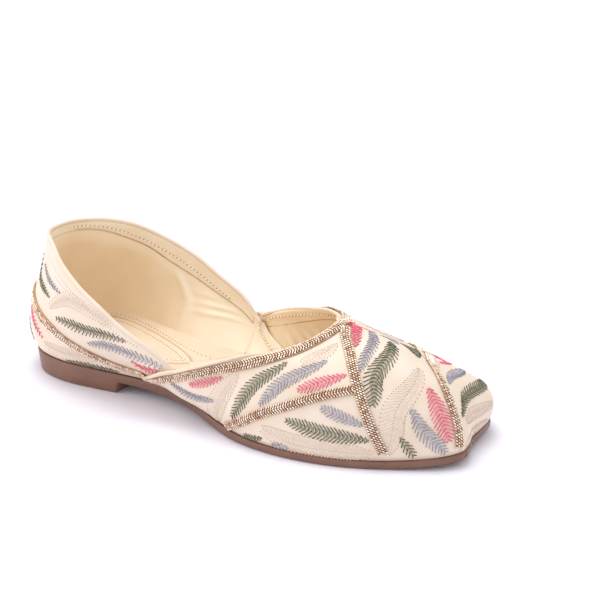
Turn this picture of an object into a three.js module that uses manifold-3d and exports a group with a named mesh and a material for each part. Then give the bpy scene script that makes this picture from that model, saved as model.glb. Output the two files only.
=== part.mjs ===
// A flat slip-on shoe of the mojari kind, for the right foot, in millimetres.
// X runs from the heel to the toe, Y towards the inner side of the foot and Z up from the floor.
// The upper is a quarter and a vamp, each a bent wall between a foot line and a top line, joined where
// the vamp's wings lap over the quarter. The origin is the middle of the heel's tread.
import * as THREE from 'three';
import Module from 'manifold-3d';
import { mergeVertices } from 'three/addons/utils/BufferGeometryUtils.js';

const wasm = await Module();
wasm.setup();

// Driving dimensions of the shoe
const shoeLength = 250;
const ballWidth = 93;
const heelWidth = 61;
const heelLength = 61;
const heelLift = 11.9;
const soleThickness = 4.1;
const shankThickness = 4.8;
const toeSpring = 3.2;
const soleFlare = 1.4;
const collarHeight = 70;
const collarWidth = 88;
const instepHeight = 52.6;
const throatWidth = 86;

// Thicknesses and clearances
const wall = 2;
const lap = 1.4;
const welt = 1;
const seam = 0.3;
const clearance = 0.2;
const insoleThickness = 2.4;
const insoleClearance = 0.5;
const bindingRadius = 1.25;
const braidWidth = 4.8;
const quarterBraidWidth = 4.2;
const braidThickness = 1.1;
const braidDrop = 0.9;
const breastSlope = 1;

// Shapes of sections, as shares of their height or thickness
const bellyHeight = 0.25;
const leanDepth = 0.4;
const braidShoulder = 0.7;

// Where the bindings and the topline braid stop short of the ends of their walls, in stations
const quarterRimStop = 0.8;
const vampRimStop = 0.2;
const toplineBraidStop = 0.5;

// How finely the bent walls are divided
const columnsPerStation = 2;
const wallRows = 11;
const solePointsPerStation = 3;
const profileSteps = 44;
const profileOverrun = 0.04;
const braidStep = 4.5;
const bindingSides = 8;
const pathSteps = 24;
const heightSteps = 60;
const smallStep = 0.01;

// The sole's outline, one row for each station, going round from the middle of the heel's back along
// the outer side to the toe and back along the inner side. along is a share of the length, heel and
// ball are shares of half the heel's width and of half the ball's width.
const outline = [
  { along: 0.0, heel: 0.0, ball: 0.0 },
  { along: 0.016, heel: -0.475, ball: 0.0 },
  { along: 0.056, heel: -0.843, ball: 0.0 },
  { along: 0.12, heel: -1.0, ball: 0.0 },
  { along: 0.188, heel: -0.984, ball: 0.0 },
  { along: 0.252, heel: -0.78, ball: -0.095 },
  { along: 0.32, heel: -0.5, ball: -0.235 },
  { along: 0.384, heel: -0.25, ball: -0.41 },
  { along: 0.448, heel: 0.0, ball: -0.66 },
  { along: 0.512, heel: 0.0, ball: -0.81 },
  { along: 0.58, heel: 0.0, ball: -0.945 },
  { along: 0.652, heel: 0.0, ball: -1.0 },
  { along: 0.724, heel: 0.0, ball: -0.981 },
  { along: 0.792, heel: 0.0, ball: -0.903 },
  { along: 0.852, heel: 0.0, ball: -0.781 },
  { along: 0.904, heel: 0.0, ball: -0.643 },
  { along: 0.948, heel: 0.0, ball: -0.508 },
  { along: 0.981, heel: 0.0, ball: -0.37 },
  { along: 1.0, heel: 0.0, ball: -0.211 },
  { along: 0.997, heel: 0.0, ball: -0.043 },
  { along: 0.986, heel: 0.0, ball: 0.151 },
  { along: 0.985, heel: 0.0, ball: 0.376 },
  { along: 0.981, heel: 0.0, ball: 0.602 },
  { along: 0.958, heel: 0.0, ball: 0.796 },
  { along: 0.916, heel: 0.0, ball: 0.899 },
  { along: 0.852, heel: 0.0, ball: 0.929 },
  { along: 0.78, heel: 0.0, ball: 0.929 },
  { along: 0.708, heel: 0.0, ball: 0.912 },
  { along: 0.64, heel: 0.0, ball: 0.867 },
  { along: 0.572, heel: 0.0, ball: 0.787 },
  { along: 0.508, heel: 0.0, ball: 0.65 },
  { along: 0.444, heel: 0.0, ball: 0.55 },
  { along: 0.38, heel: 0.25, ball: 0.36 },
  { along: 0.316, heel: 0.5, ball: 0.21 },
  { along: 0.252, heel: 0.78, ball: 0.086 },
  { along: 0.188, heel: 0.977, ball: 0.0 },
  { along: 0.12, heel: 1.0, ball: 0.0 },
  { along: 0.056, heel: 0.843, ball: 0.0 },
  { along: 0.016, heel: 0.475, ball: 0.0 },
];
const stations = outline.length;

// The sole seen from the side. along is a share of the length, over is the height of its upper face as
// a share of the way from the forefoot's to the heel's, under is the shank's underside likewise, and
// spring is a share of the toe spring.
const sideView = [
  { along: -0.04, over: 1.0, under: 1.0, spring: 0.0 },
  { along: 0.1, over: 1.0, under: 1.0, spring: 0.0 },
  { along: 0.2, over: 0.98, under: 0.96, spring: 0.0 },
  { along: 0.3, over: 0.87, under: 0.8, spring: 0.0 },
  { along: 0.4, over: 0.65, under: 0.56, spring: 0.0 },
  { along: 0.48, over: 0.38, under: 0.28, spring: 0.0 },
  { along: 0.55, over: 0.14, under: 0.04, spring: 0.0 },
  { along: 0.62, over: 0.02, under: 0.0, spring: 0.0 },
  { along: 0.72, over: 0.0, under: 0.0, spring: 0.0 },
  { along: 0.82, over: 0.0, under: 0.0, spring: 0.0 },
  { along: 0.88, over: 0.0, under: 0.0, spring: 0.12 },
  { along: 0.94, over: 0.0, under: 0.0, spring: 0.45 },
  { along: 1.0, over: 0.0, under: 0.0, spring: 1.0 },
  { along: 1.04, over: 0.0, under: 0.0, spring: 1.4 },
];

// The quarter's wall at each station from the heel's back forwards, on both sides alike. along, side and
// height place its top edge as shares of the length, of half the collar's width and of its height. belly
// and lean are how far its lower and upper parts swell outwards, as shares of the heel's width.
const quarterSections = [
  { along: 0.016, side: 0.0, height: 0.985, belly: 0.2, lean: 0.02 },
  { along: 0.036, side: 0.27, height: 1.0, belly: 0.2, lean: 0.03 },
  { along: 0.084, side: 0.53, height: 0.995, belly: 0.17, lean: 0.04 },
  { along: 0.138, side: 0.77, height: 0.935, belly: 0.13, lean: 0.04 },
  { along: 0.202, side: 0.925, height: 0.83, belly: 0.1, lean: 0.03 },
  { along: 0.26, side: 0.987, height: 0.73, belly: 0.1, lean: 0.03 },
  { along: 0.32, side: 1.0, height: 0.606, belly: 0.12, lean: 0.03 },
  { along: 0.38, side: 0.975, height: 0.5, belly: 0.15, lean: 0.03 },
  { along: 0.434, side: 0.9, height: 0.36, belly: 0.15, lean: 0.02 },
];

// The vamp's wings follow the quarter up to this share of its height, from the tail forwards.
const wingShares = [0.07, 0.5, 1.02];

// The vamp's wall at each station from the end of the outer wing round the toe to the inner wing. along,
// side and height place its top edge as shares of the length, of half the throat's width and of the
// instep's height. lift and dip are shares of the wall's height and reach is a share of its run: they
// bend it. flare is how far it swells over the sole's edge, as a share of the ball's width.
const vampSections = [
  { along: 0.492, side: -1.005, height: 0.631, lift: 0.3, flare: 0.08, reach: 0.0, dip: 0.33 },
  { along: 0.548, side: -0.912, height: 0.73, lift: 0.4, flare: 0.05, reach: 0.05, dip: 0.25 },
  { along: 0.596, side: -0.8, height: 0.798, lift: 0.5, flare: 0.028, reach: 0.25, dip: 0.12 },
  { along: 0.636, side: -0.674, height: 0.842, lift: 0.55, flare: 0.022, reach: 0.4, dip: 0.06 },
  { along: 0.668, side: -0.523, height: 0.886, lift: 0.6, flare: 0.022, reach: 0.45, dip: 0.04 },
  { along: 0.689, side: -0.379, height: 0.924, lift: 0.6, flare: 0.02, reach: 0.5, dip: 0.03 },
  { along: 0.702, side: -0.251, height: 0.958, lift: 0.55, flare: 0.016, reach: 0.5, dip: 0.02 },
  { along: 0.71, side: -0.151, height: 0.981, lift: 0.52, flare: 0.01, reach: 0.52, dip: 0.01 },
  { along: 0.713, side: -0.07, height: 0.994, lift: 0.51, flare: 0.006, reach: 0.542, dip: 0 },
  { along: 0.714, side: 0.012, height: 1.0, lift: 0.52, flare: 0.012, reach: 0.558, dip: 0 },
  { along: 0.714, side: 0.093, height: 0.994, lift: 0.54, flare: 0.03, reach: 0.57, dip: 0.035 },
  { along: 0.71, side: 0.174, height: 0.981, lift: 0.565, flare: 0.057, reach: 0.578, dip: 0.11 },
  { along: 0.703, side: 0.267, height: 0.96, lift: 0.58, flare: 0.088, reach: 0.59, dip: 0.215 },
  { along: 0.693, side: 0.367, height: 0.935, lift: 0.585, flare: 0.112, reach: 0.582, dip: 0.33 },
  { along: 0.678, side: 0.472, height: 0.909, lift: 0.55, flare: 0.106, reach: 0.54, dip: 0.4 },
  { along: 0.66, side: 0.577, height: 0.88, lift: 0.536, flare: 0.079, reach: 0.495, dip: 0.315 },
  { along: 0.635, side: 0.681, height: 0.844, lift: 0.543, flare: 0.052, reach: 0.453, dip: 0.205 },
  { along: 0.602, side: 0.784, height: 0.802, lift: 0.528, flare: 0.034, reach: 0.397, dip: 0.133 },
  { along: 0.566, side: 0.867, height: 0.755, lift: 0.475, flare: 0.029, reach: 0.295, dip: 0.124 },
  { along: 0.528, side: 0.926, height: 0.7, lift: 0.44, flare: 0.03, reach: 0.146, dip: 0.177 },
  { along: 0.49, side: 0.958, height: 0.635, lift: 0.4, flare: 0.028, reach: 0.047, dip: 0.242 },
  { along: 0.458, side: 0.967, height: 0.576, lift: 0.36, flare: 0.027, reach: 0, dip: 0.302 },
];

// The braids laid on the upper. station and up place the middle of a braid on the quarter's or the
// vamp's wall: up is 0 at the sole and 1 at the top edge.
const sideBraidPath = [
  { station: 16.75, up: 0.93 },
  { station: 15.5, up: 0.85 },
  { station: 14.85, up: 0.72 },
  { station: 14.4, up: 0.56 },
  { station: 14.25, up: 0.38 },
  { station: 14.3, up: 0.2 },
  { station: 14.55, up: 0.045 },
];
const waistBraidPath = [
  { station: 14.0, up: 0.485 },
  { station: 13.2, up: 0.46 },
  { station: 12.4, up: 0.42 },
  { station: 11.5, up: 0.345 },
  { station: 10.7, up: 0.25 },
  { station: 10.0, up: 0.12 },
];
const ridgeBraidPath = [
  { station: 17.75, up: 0.04 },
  { station: 17.9, up: 0.14 },
  { station: 18.15, up: 0.26 },
  { station: 18.5, up: 0.37 },
  { station: 19.2, up: 0.49 },
  { station: 20.2, up: 0.58 },
  { station: 21.5, up: 0.65 },
  { station: 22.9, up: 0.655 },
  { station: 24.2, up: 0.59 },
  { station: 25.5, up: 0.46 },
  { station: 26.8, up: 0.33 },
  { station: 28.0, up: 0.2 },
  { station: 28.9, up: 0.1 },
];

// One half of the braid round the heel; steps counts the stations from the heel's back.
const heelBraidHalf = [
  { steps: 0.0, up: 0.56 },
  { steps: 1.0, up: 0.535 },
  { steps: 2.0, up: 0.475 },
  { steps: 3.0, up: 0.395 },
  { steps: 4.0, up: 0.3 },
  { steps: 5.2, up: 0.235 },
];

// The stations where the quarter and the vamp begin and end
const quarterFirst = stations - quarterSections.length + 1;
const quarterLast = stations + quarterSections.length - 1;
const vampFirst = quarterSections.length - wingShares.length;
const vampLast = vampFirst + vampSections.length + 2 * wingShares.length - 1;

// Colours of the finished pieces
const leather = new THREE.MeshStandardMaterial({ color: 0xeadfc4, roughness: 0.5, metalness: 0 });
const lining = new THREE.MeshStandardMaterial({ color: 0xefe2bd, roughness: 0.6, metalness: 0 });
const soling = new THREE.MeshStandardMaterial({ color: 0x8f6a5c, roughness: 0.45, metalness: 0 });
const braiding = new THREE.MeshStandardMaterial({ color: 0xa9805a, roughness: 0.4, metalness: 0.5 });

// A smooth value between four neighbours, from b to c as f goes from 0 to 1
function between(a, b, c, d, f) {
  const even = 2 * b + (c - a) * f;
  const bend = (2 * a - 5 * b + 4 * c - d) * f * f;
  const turn = (3 * b - a - 3 * c + d) * f * f * f;
  return (even + bend + turn) / 2;
}

// The value of one column of a table at a place between its rows; the ends run on straight
function column(rows, key, place) {
  const last = rows.length - 1;
  const i = Math.min(Math.max(Math.floor(place), 0), last - 1);
  const before = i > 0 ? rows[i - 1][key] : 2 * rows[0][key] - rows[1][key];
  const after = i < last - 1 ? rows[i + 2][key] : 2 * rows[last][key] - rows[last - 1][key];
  return between(before, rows[i][key], rows[i + 1][key], after, place - i);
}

// The place in a table where a rising column has a value
function placeOf(rows, key, value) {
  let i = 0;
  while (i < rows.length - 2 && rows[i + 1][key] < value) {
    i += 1;
  }
  return i + (value - rows[i][key]) / (rows[i + 1][key] - rows[i][key]);
}

// The sole's outline on the floor at a station, which may lie between two rows
function outlineRow(index) {
  const row = outline[((index % stations) + stations) % stations];
  return { x: row.along * shoeLength, y: (row.heel * heelWidth + row.ball * ballWidth) / 2 };
}

function outlinePoint(station) {
  const i = Math.floor(station);
  const [a, b, c, d] = [-1, 0, 1, 2].map((k) => outlineRow(i + k));
  const f = station - i;
  return new THREE.Vector2(between(a.x, b.x, c.x, d.x, f), between(a.y, b.y, c.y, d.y, f));
}

// The horizontal direction that points out of the shoe at a station
function outwards(station) {
  const run = outlinePoint(station + smallStep).sub(outlinePoint(station - smallStep));
  return new THREE.Vector3(run.y, -run.x, 0).normalize();
}

// The height of the sole's upper face and of its underside at a distance from the heel's back
function sideHeights(x) {
  const place = placeOf(sideView, 'along', x / shoeLength);
  const spring = Math.max(column(sideView, 'spring', place), 0) * toeSpring;
  const over = Math.max(column(sideView, 'over', place), 0) * (heelLift - soleThickness);
  const under = Math.max(column(sideView, 'under', place), 0) * (heelLift - shankThickness);
  return { over: soleThickness + over + spring, under: under + spring };
}

// The foot line of the upper, just inside the edge of the sole's upper face
function footPoint(station) {
  const flat = outlinePoint(station);
  const height = sideHeights(flat.x).over;
  const offset = (soleFlare * height) / heelLift - welt;
  return outwards(station).multiplyScalar(offset).add(new THREE.Vector3(flat.x, flat.y, height + seam));
}

// One section of the quarter, as the four control points of its curve
function quarterSection(station) {
  const steps = station - stations;
  const row = quarterSections[Math.abs(steps)];
  const away = outwards(station);
  const foot = footPoint(station);
  const side = (-Math.sign(steps) * row.side * collarWidth) / 2;
  const top = new THREE.Vector3(row.along * shoeLength, side, row.height * collarHeight);
  const rise = top.z - foot.z;
  const low = foot.clone().addScaledVector(away, row.belly * heelWidth);
  const high = top.clone().addScaledVector(away, row.lean * heelWidth);
  low.z += rise * bellyHeight;
  high.z -= rise * leanDepth;
  return [foot, low, high, top];
}

// The first part of a curve, up to a share of it, as control points
function lowerPart(points, share) {
  const mix = (a, b) => a.clone().lerp(b, share);
  const [ab, bc, cd] = [0, 1, 2].map((k) => mix(points[k], points[k + 1]));
  const abc = mix(ab, bc);
  const bcd = mix(bc, cd);
  return [points[0].clone(), ab, abc, mix(abc, bcd)];
}

// One section of a wing, which is the lower part of the quarter's section with the lap laid on it
function wingSection(station) {
  const inner = station > stations / 2;
  const quarterStation = inner ? station : station + stations;
  const steps = inner ? vampLast - station : station - vampFirst;
  const away = outwards(station).multiplyScalar(lap);
  return lowerPart(quarterSection(quarterStation), wingShares[steps]).map((point) => point.add(away));
}

// One section of the vamp in front of its wings
function frontSection(station) {
  const row = vampSections[station - vampFirst - wingShares.length];
  const foot = footPoint(station);
  const side = (row.side * throatWidth) / 2;
  const top = new THREE.Vector3(row.along * shoeLength, side, row.height * instepHeight);
  const rise = top.z - foot.z;
  const run = new THREE.Vector3(foot.x - top.x, foot.y - top.y, 0);
  const low = foot.clone().addScaledVector(outwards(station), row.flare * ballWidth);
  const high = top.clone().addScaledVector(run, row.reach);
  low.z += rise * row.lift;
  high.z -= rise * row.dip;
  return [foot, low, high, top];
}

function vampSection(station) {
  const edge = wingShares.length;
  const onWing = station < vampFirst + edge || station > vampLast - edge;
  return onWing ? wingSection(station) : frontSection(station);
}

// A bent surface through a run of sections. at gives a point on it, and up is 0 at the sole.
class Skin {
  constructor(section, first, last) {
    this.first = first;
    this.last = last;
    this.sections = [];
    for (let station = first; station <= last; station += 1) {
      this.sections.push(section(station));
    }
  }

  control(index, axis, place) {
    const rows = this.sections.map((points) => ({ value: points[index][axis] }));
    return column(rows, 'value', place);
  }

  curve(station) {
    const place = station - this.first;
    const points = [0, 1, 2, 3].map(
      (k) => new THREE.Vector3(...['x', 'y', 'z'].map((axis) => this.control(k, axis, place))),
    );
    return new THREE.CubicBezierCurve3(...points);
  }

  at(station, up) {
    return this.curve(station).getPoint(up, new THREE.Vector3());
  }

  slopes(station, up) {
    const along = this.at(station + smallStep, up).sub(this.at(station - smallStep, up));
    const rise = this.at(station, up + smallStep).sub(this.at(station, up - smallStep));
    along.divideScalar(2 * smallStep);
    rise.divideScalar(2 * smallStep);
    return { along, rise, normal: along.clone().cross(rise).normalize() };
  }

  raised(station, up, height) {
    return this.at(station, up).addScaledVector(this.slopes(station, up).normal, height);
  }

  // The share of the height that lies a distance below the top edge
  below(station, distance) {
    const points = this.curve(station).getPoints(heightSteps);
    let left = distance;
    let k = heightSteps;
    while (k > 1 && left > points[k].distanceTo(points[k - 1])) {
      left -= points[k].distanceTo(points[k - 1]);
      k -= 1;
    }
    return (k - left / points[k].distanceTo(points[k - 1])) / heightSteps;
  }
}

// A closed solid through rings of points, with a lid on each end. The first and the last point of a ring
// face each other across the lid, and so on inwards.
function tube(rings) {
  const size = rings[0].length;
  const positions = [];
  const put = (...points) => points.forEach((point) => positions.push(point.x, point.y, point.z));
  const quad = (a, b, c, d) => {
    put(a, b, c);
    put(a, c, d);
  };
  for (let i = 0; i < rings.length - 1; i += 1) {
    for (let k = 0; k < size; k += 1) {
      const next = (k + 1) % size;
      quad(rings[i][k], rings[i + 1][k], rings[i + 1][next], rings[i][next]);
    }
  }
  const lid = (ring, turned) => {
    for (let k = 0; k < size / 2 - 1; k += 1) {
      const corners = [ring[k], ring[k + 1], ring[size - 2 - k], ring[size - 1 - k]];
      quad(...(turned ? corners.reverse() : corners));
    }
  };
  lid(rings[0], false);
  lid(rings[rings.length - 1], true);
  return facingOut(positions);
}

// Six times the volume inside a list of triangles, which is negative when they face inwards
function signedVolume(positions) {
  const corner = (i) => new THREE.Vector3(positions[i], positions[i + 1], positions[i + 2]);
  let sum = 0;
  for (let i = 0; i < positions.length; i += 9) {
    sum += corner(i).dot(corner(i + 3).cross(corner(i + 6)));
  }
  return sum;
}

// A geometry of triangles with shared corners, turned so that its faces point out
function facingOut(positions) {
  const geometry = new THREE.BufferGeometry();
  geometry.setAttribute('position', new THREE.Float32BufferAttribute(positions, 3));
  const merged = mergeVertices(geometry, 1e-4);
  const index = merged.getIndex();
  const turn = signedVolume(positions) < 0;
  const kept = [];
  for (let i = 0; i < index.count; i += 3) {
    const [a, b, c] = [0, 1, 2].map((k) => index.getX(i + k));
    if (a !== b && b !== c && c !== a) {
      kept.push(...(turn ? [a, c, b] : [a, b, c]));
    }
  }
  merged.setIndex(kept);
  return merged;
}

function solid(geometry) {
  return new wasm.Manifold(new wasm.Mesh({
    numProp: 3,
    vertProperties: new Float32Array(geometry.getAttribute('position').array),
    triVerts: new Uint32Array(geometry.getIndex().array),
  }));
}

function geometryOf(body) {
  const mesh = body.getMesh();
  const geometry = new THREE.BufferGeometry();
  geometry.setAttribute('position', new THREE.BufferAttribute(mesh.vertProperties, 3));
  geometry.setIndex(new THREE.BufferAttribute(mesh.triVerts, 1));
  return geometry;
}

// Evenly spaced numbers from one end to the other
function evenly(from, to, steps) {
  return Array.from({ length: steps + 1 }, (unused, i) => from + ((to - from) * i) / steps);
}

// A wall of even thickness inside a skin; its lower edge is level, so that it sits on the sole. raise
// moves its outer face outwards.
function wallRing(skin, station, raise) {
  const shares = evenly(0, 1, wallRows - 1);
  const outer = shares.map((up) => skin.raised(station, up, raise));
  const inner = shares.map((up) => skin.raised(station, up, -wall));
  inner[0].z = outer[0].z;
  return [...outer, ...inner.reverse()];
}

function wallSolid(skin, raise = 0) {
  const places = evenly(skin.first, skin.last, (skin.last - skin.first) * columnsPerStation);
  return solid(tube(places.map((station) => wallRing(skin, station, raise))));
}

// A flat outline at a distance inside or outside the sole's outline
function offsetOutline(distance) {
  const places = evenly(0, stations, stations * solePointsPerStation).slice(0, -1);
  return places.map((station) => {
    const flat = outlinePoint(station);
    return new THREE.Vector2(flat.x, flat.y).addScaledVector(outwards(station), distance);
  });
}

// An upright block between two outlines with the same number of points
function blockBetween(lower, lowerHeight, upper, upperHeight) {
  const positions = [];
  const put = (flat, height) => positions.push(flat.x, flat.y, height);
  lower.forEach((flat, i) => {
    const next = (i + 1) % lower.length;
    put(flat, lowerHeight);
    put(lower[next], lowerHeight);
    put(upper[next], upperHeight);
    put(flat, lowerHeight);
    put(upper[next], upperHeight);
    put(upper[i], upperHeight);
  });
  THREE.ShapeUtils.triangulateShape(lower, []).forEach(([a, b, c]) => {
    [a, c, b].forEach((k) => put(lower[k], lowerHeight));
    [a, b, c].forEach((k) => put(upper[k], upperHeight));
  });
  return facingOut(positions);
}

// A wide slab whose outline is drawn in the side view
function sideSlab(points) {
  const slab = new THREE.ExtrudeGeometry(new THREE.Shape(points), {
    depth: 2 * ballWidth,
    bevelEnabled: false,
  });
  slab.translate(0, 0, -ballWidth);
  slab.rotateX(Math.PI / 2);
  slab.deleteAttribute('normal');
  slab.deleteAttribute('uv');
  return facingOut(Array.from(slab.getAttribute('position').array));
}

// Points of the side view from behind the heel to past the toe
function sideLine(height) {
  return evenly(-profileOverrun, 1 + profileOverrun, profileSteps).map((share) => {
    const x = share * shoeLength;
    return new THREE.Vector2(x, height(sideHeights(x)));
  });
}

// The sole with its heel in one piece: the outline, flaring a little upwards, cut to its side view
function outsole() {
  const low = -heelLift;
  const tall = 2 * heelLift;
  const flare = (height) => (soleFlare * height) / heelLift;
  const block = blockBetween(offsetOutline(flare(low)), low, offsetOutline(flare(tall)), tall);
  const over = sideLine((heights) => heights.over);
  const under = sideLine((heights) => heights.under).filter((point) => point.x > heelLength);
  const breastTop = new THREE.Vector2(heelLength, sideHeights(heelLength).under);
  const breastFoot = new THREE.Vector2(heelLength - breastSlope, 0);
  const heelBack = new THREE.Vector2(over[0].x, 0);
  const view = [...over, ...under.reverse(), breastTop, breastFoot, heelBack];
  return geometryOf(solid(block).intersect(solid(sideSlab(view))));
}

// The sock that lies on the sole inside the upper
function insole() {
  const edge = offsetOutline(-welt - wall - insoleClearance);
  const tall = 2 * heelLift;
  const block = blockBetween(edge, 0, edge, tall);
  const lower = sideLine((heights) => heights.over + seam);
  const upper = sideLine((heights) => heights.over + seam + insoleThickness);
  return geometryOf(solid(block).intersect(solid(sideSlab([...lower, ...upper.reverse()]))));
}

// The step in station and height that moves a point on a skin by a given vector
function stepOn(skin, station, up, move) {
  const { along, rise } = skin.slopes(station, up);
  const [aa, ar, rr] = [along.dot(along), along.dot(rise), rise.dot(rise)];
  const [am, rm] = [along.dot(move), rise.dot(move)];
  const scale = aa * rr - ar * ar;
  return { station: (am * rr - rm * ar) / scale, up: (rm * aa - am * ar) / scale };
}

// A flat braid laid along a path on a skin, with a crowned top
function braid(skin, path, width) {
  const place = (share) => {
    const row = share * (path.length - 1);
    return { station: column(path, 'station', row), up: column(path, 'up', row) };
  };
  const middle = (share) => {
    const { station, up } = place(share);
    return skin.at(station, up);
  };
  const rough = evenly(0, 1, pathSteps).map(middle);
  const length = rough.slice(1).reduce((sum, point, i) => sum + point.distanceTo(rough[i]), 0);
  return tube(evenly(0, 1, Math.ceil(length / braidStep)).map((share) => {
    const { station, up } = place(share);
    const ahead = middle(Math.min(share + smallStep, 1)).sub(middle(Math.max(share - smallStep, 0)));
    const across = ahead.cross(skin.slopes(station, up).normal).normalize();
    const edge = (side, height) => {
      const step = stepOn(skin, station, up, across.clone().multiplyScalar((side * width) / 2));
      return skin.raised(station + step.station, up + step.up, seam + height * braidThickness);
    };
    const lower = [edge(-1, 0), edge(0, 0), edge(1, 0)];
    return [...lower, edge(1, braidShoulder), edge(0, 1), edge(-1, braidShoulder)];
  }));
}

// A rolled binding that sits on the top edge of a skin's wall. inset tells how far inside the wall's
// outer face its middle lies at a station.
function binding(skin, first, last, inset) {
  const steps = Math.round((last - first) * columnsPerStation);
  return tube(evenly(first, last, steps).map((station) => {
    const { rise, normal } = skin.slopes(station, 1);
    const upwards = rise.clone().normalize();
    const middle = skin.at(station, 1);
    middle.addScaledVector(upwards, seam + bindingRadius);
    middle.addScaledVector(normal, -inset(station));
    return evenly(0, 2 * Math.PI, bindingSides).slice(0, -1).map((angle) => middle.clone()
      .addScaledVector(upwards, bindingRadius * Math.cos(angle + Math.PI / bindingSides))
      .addScaledVector(normal, bindingRadius * Math.sin(angle + Math.PI / bindingSides)));
  }));
}

// The vamp's binding lies outside the quarter on the wings and on the middle of the wall at the throat
function vampInset(station) {
  const fromEnd = Math.min(station - vampFirst, vampLast - station);
  const ease = THREE.MathUtils.smoothstep(fromEnd, wingShares.length, 2 * wingShares.length);
  return THREE.MathUtils.lerp(lap - bindingRadius - 2 * seam, wall / 2, ease);
}

// The path of the braid that follows the vamp's top edge
function toplinePath(skin) {
  const drop = braidDrop + braidWidth / 2;
  const [from, to] = [skin.first + toplineBraidStop, skin.last - toplineBraidStop];
  return evenly(from, to, 2 * (skin.last - skin.first)).map((station) => ({
    station,
    up: skin.below(station, drop),
  }));
}

// The path of the braid that follows the quarter round the heel, alike on both sides
function heelBraidPath() {
  const outer = heelBraidHalf.map(({ steps, up }) => ({ station: stations + steps, up }));
  const inner = heelBraidHalf.slice(1).map(({ steps, up }) => ({ station: stations - steps, up }));
  return [...inner.reverse(), ...outer];
}

const quarter = new Skin(quarterSection, quarterFirst, quarterLast);
const vamp = new Skin(vampSection, vampFirst, vampLast);

const shoe = new THREE.Group();
const lasted = new THREE.Group();
lasted.position.x = -heelLength / 2;
shoe.add(lasted);

function piece(name, geometry, material) {
  const mesh = new THREE.Mesh(geometry, material);
  mesh.name = name;
  lasted.add(mesh);
}

// What lies on the vamp's wings stays clear of both walls
function clearOfWalls(geometry) {
  const walls = wallSolid(quarter, clearance).add(wallSolid(vamp, clearance));
  return geometryOf(solid(geometry).subtract(walls));
}

const [rimFrom, rimTo] = [quarterFirst + quarterRimStop, quarterLast - quarterRimStop];
const quarterRim = binding(quarter, rimFrom, rimTo, () => wall / 2);
const vampRim = binding(vamp, vampFirst + vampRimStop, vampLast - vampRimStop, vampInset);

piece('outsole', outsole(), soling);
piece('insole', insole(), lining);
piece('upper', geometryOf(wallSolid(quarter).add(wallSolid(vamp))), leather);
piece('quarter_binding', quarterRim, lining);
piece('vamp_binding', clearOfWalls(vampRim), lining);
piece('topline_braid', clearOfWalls(braid(vamp, toplinePath(vamp), braidWidth)), braiding);
piece('side_braid', braid(vamp, sideBraidPath, braidWidth), braiding);
piece('waist_braid', braid(vamp, waistBraidPath, braidWidth), braiding);
piece('ridge_braid', braid(vamp, ridgeBraidPath, braidWidth), braiding);
piece('quarter_braid', braid(quarter, heelBraidPath(), quarterBraidWidth), braiding);

export default shoe;
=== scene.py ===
# %% [markdown]
# # A stitched slip-on shoe
# This is one right shoe of the mojari kind: a thin moulded sole with a low heel, a high rounded quarter,
# a low open vamp, metallic braids and leaves stitched in four colours of thread. The plain solids come
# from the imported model, and every piece below is laid over them in the same place, in metres.

# %% Load the solids
import math
import bpy
import bmesh
import numpy as np
from mathutils import Matrix, Vector


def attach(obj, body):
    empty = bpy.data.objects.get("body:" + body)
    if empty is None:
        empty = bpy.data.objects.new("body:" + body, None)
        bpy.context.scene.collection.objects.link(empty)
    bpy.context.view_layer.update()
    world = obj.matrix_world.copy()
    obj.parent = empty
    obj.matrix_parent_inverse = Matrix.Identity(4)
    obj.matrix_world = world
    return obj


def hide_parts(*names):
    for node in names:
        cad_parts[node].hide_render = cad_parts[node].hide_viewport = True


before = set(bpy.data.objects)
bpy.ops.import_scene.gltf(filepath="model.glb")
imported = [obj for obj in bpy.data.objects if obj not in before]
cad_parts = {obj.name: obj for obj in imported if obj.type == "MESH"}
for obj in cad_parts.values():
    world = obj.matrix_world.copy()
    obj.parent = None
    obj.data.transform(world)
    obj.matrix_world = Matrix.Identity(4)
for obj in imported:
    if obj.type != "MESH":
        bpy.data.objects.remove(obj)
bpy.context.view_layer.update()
print("solids:", sorted(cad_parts))

# %% [markdown]
# ## Sizes
# A shoe is made on a last, so its shape is known from a few sizes and from sections taken at even steps
# round the sole's edge. Each section of the upper is one bent line from the sole to the top edge. The
# sizes and the short tables are in millimetres and shares, as they are for the solids.

# %% Sizes of the shoe
SHOE_LENGTH, BALL_WIDTH, HEEL_WIDTH, HEEL_LENGTH = 250, 93, 61, 61
HEEL_LIFT, SOLE_THICKNESS, SHANK_THICKNESS, TOE_SPRING, SOLE_FLARE = 11.9, 4.1, 4.8, 3.2, 1.4
COLLAR_HEIGHT, COLLAR_WIDTH, INSTEP_HEIGHT, THROAT_WIDTH = 70, 88, 52.6, 86
WALL, LAP, WELT, SEAM = 2, 1.4, 1, 0.3
INSOLE_THICKNESS = 2.4
BELLY_HEIGHT, LEAN_DEPTH = 0.25, 0.4
print("shoe", SHOE_LENGTH, "mm long,", BALL_WIDTH, "mm wide at the ball")


def table(columns, rows):
    """The columns of a short table as arrays, by name. A comma ends each row."""
    return dict(zip(columns.split(), np.array([row.split() for row in rows.split(",")], float).T))


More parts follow.
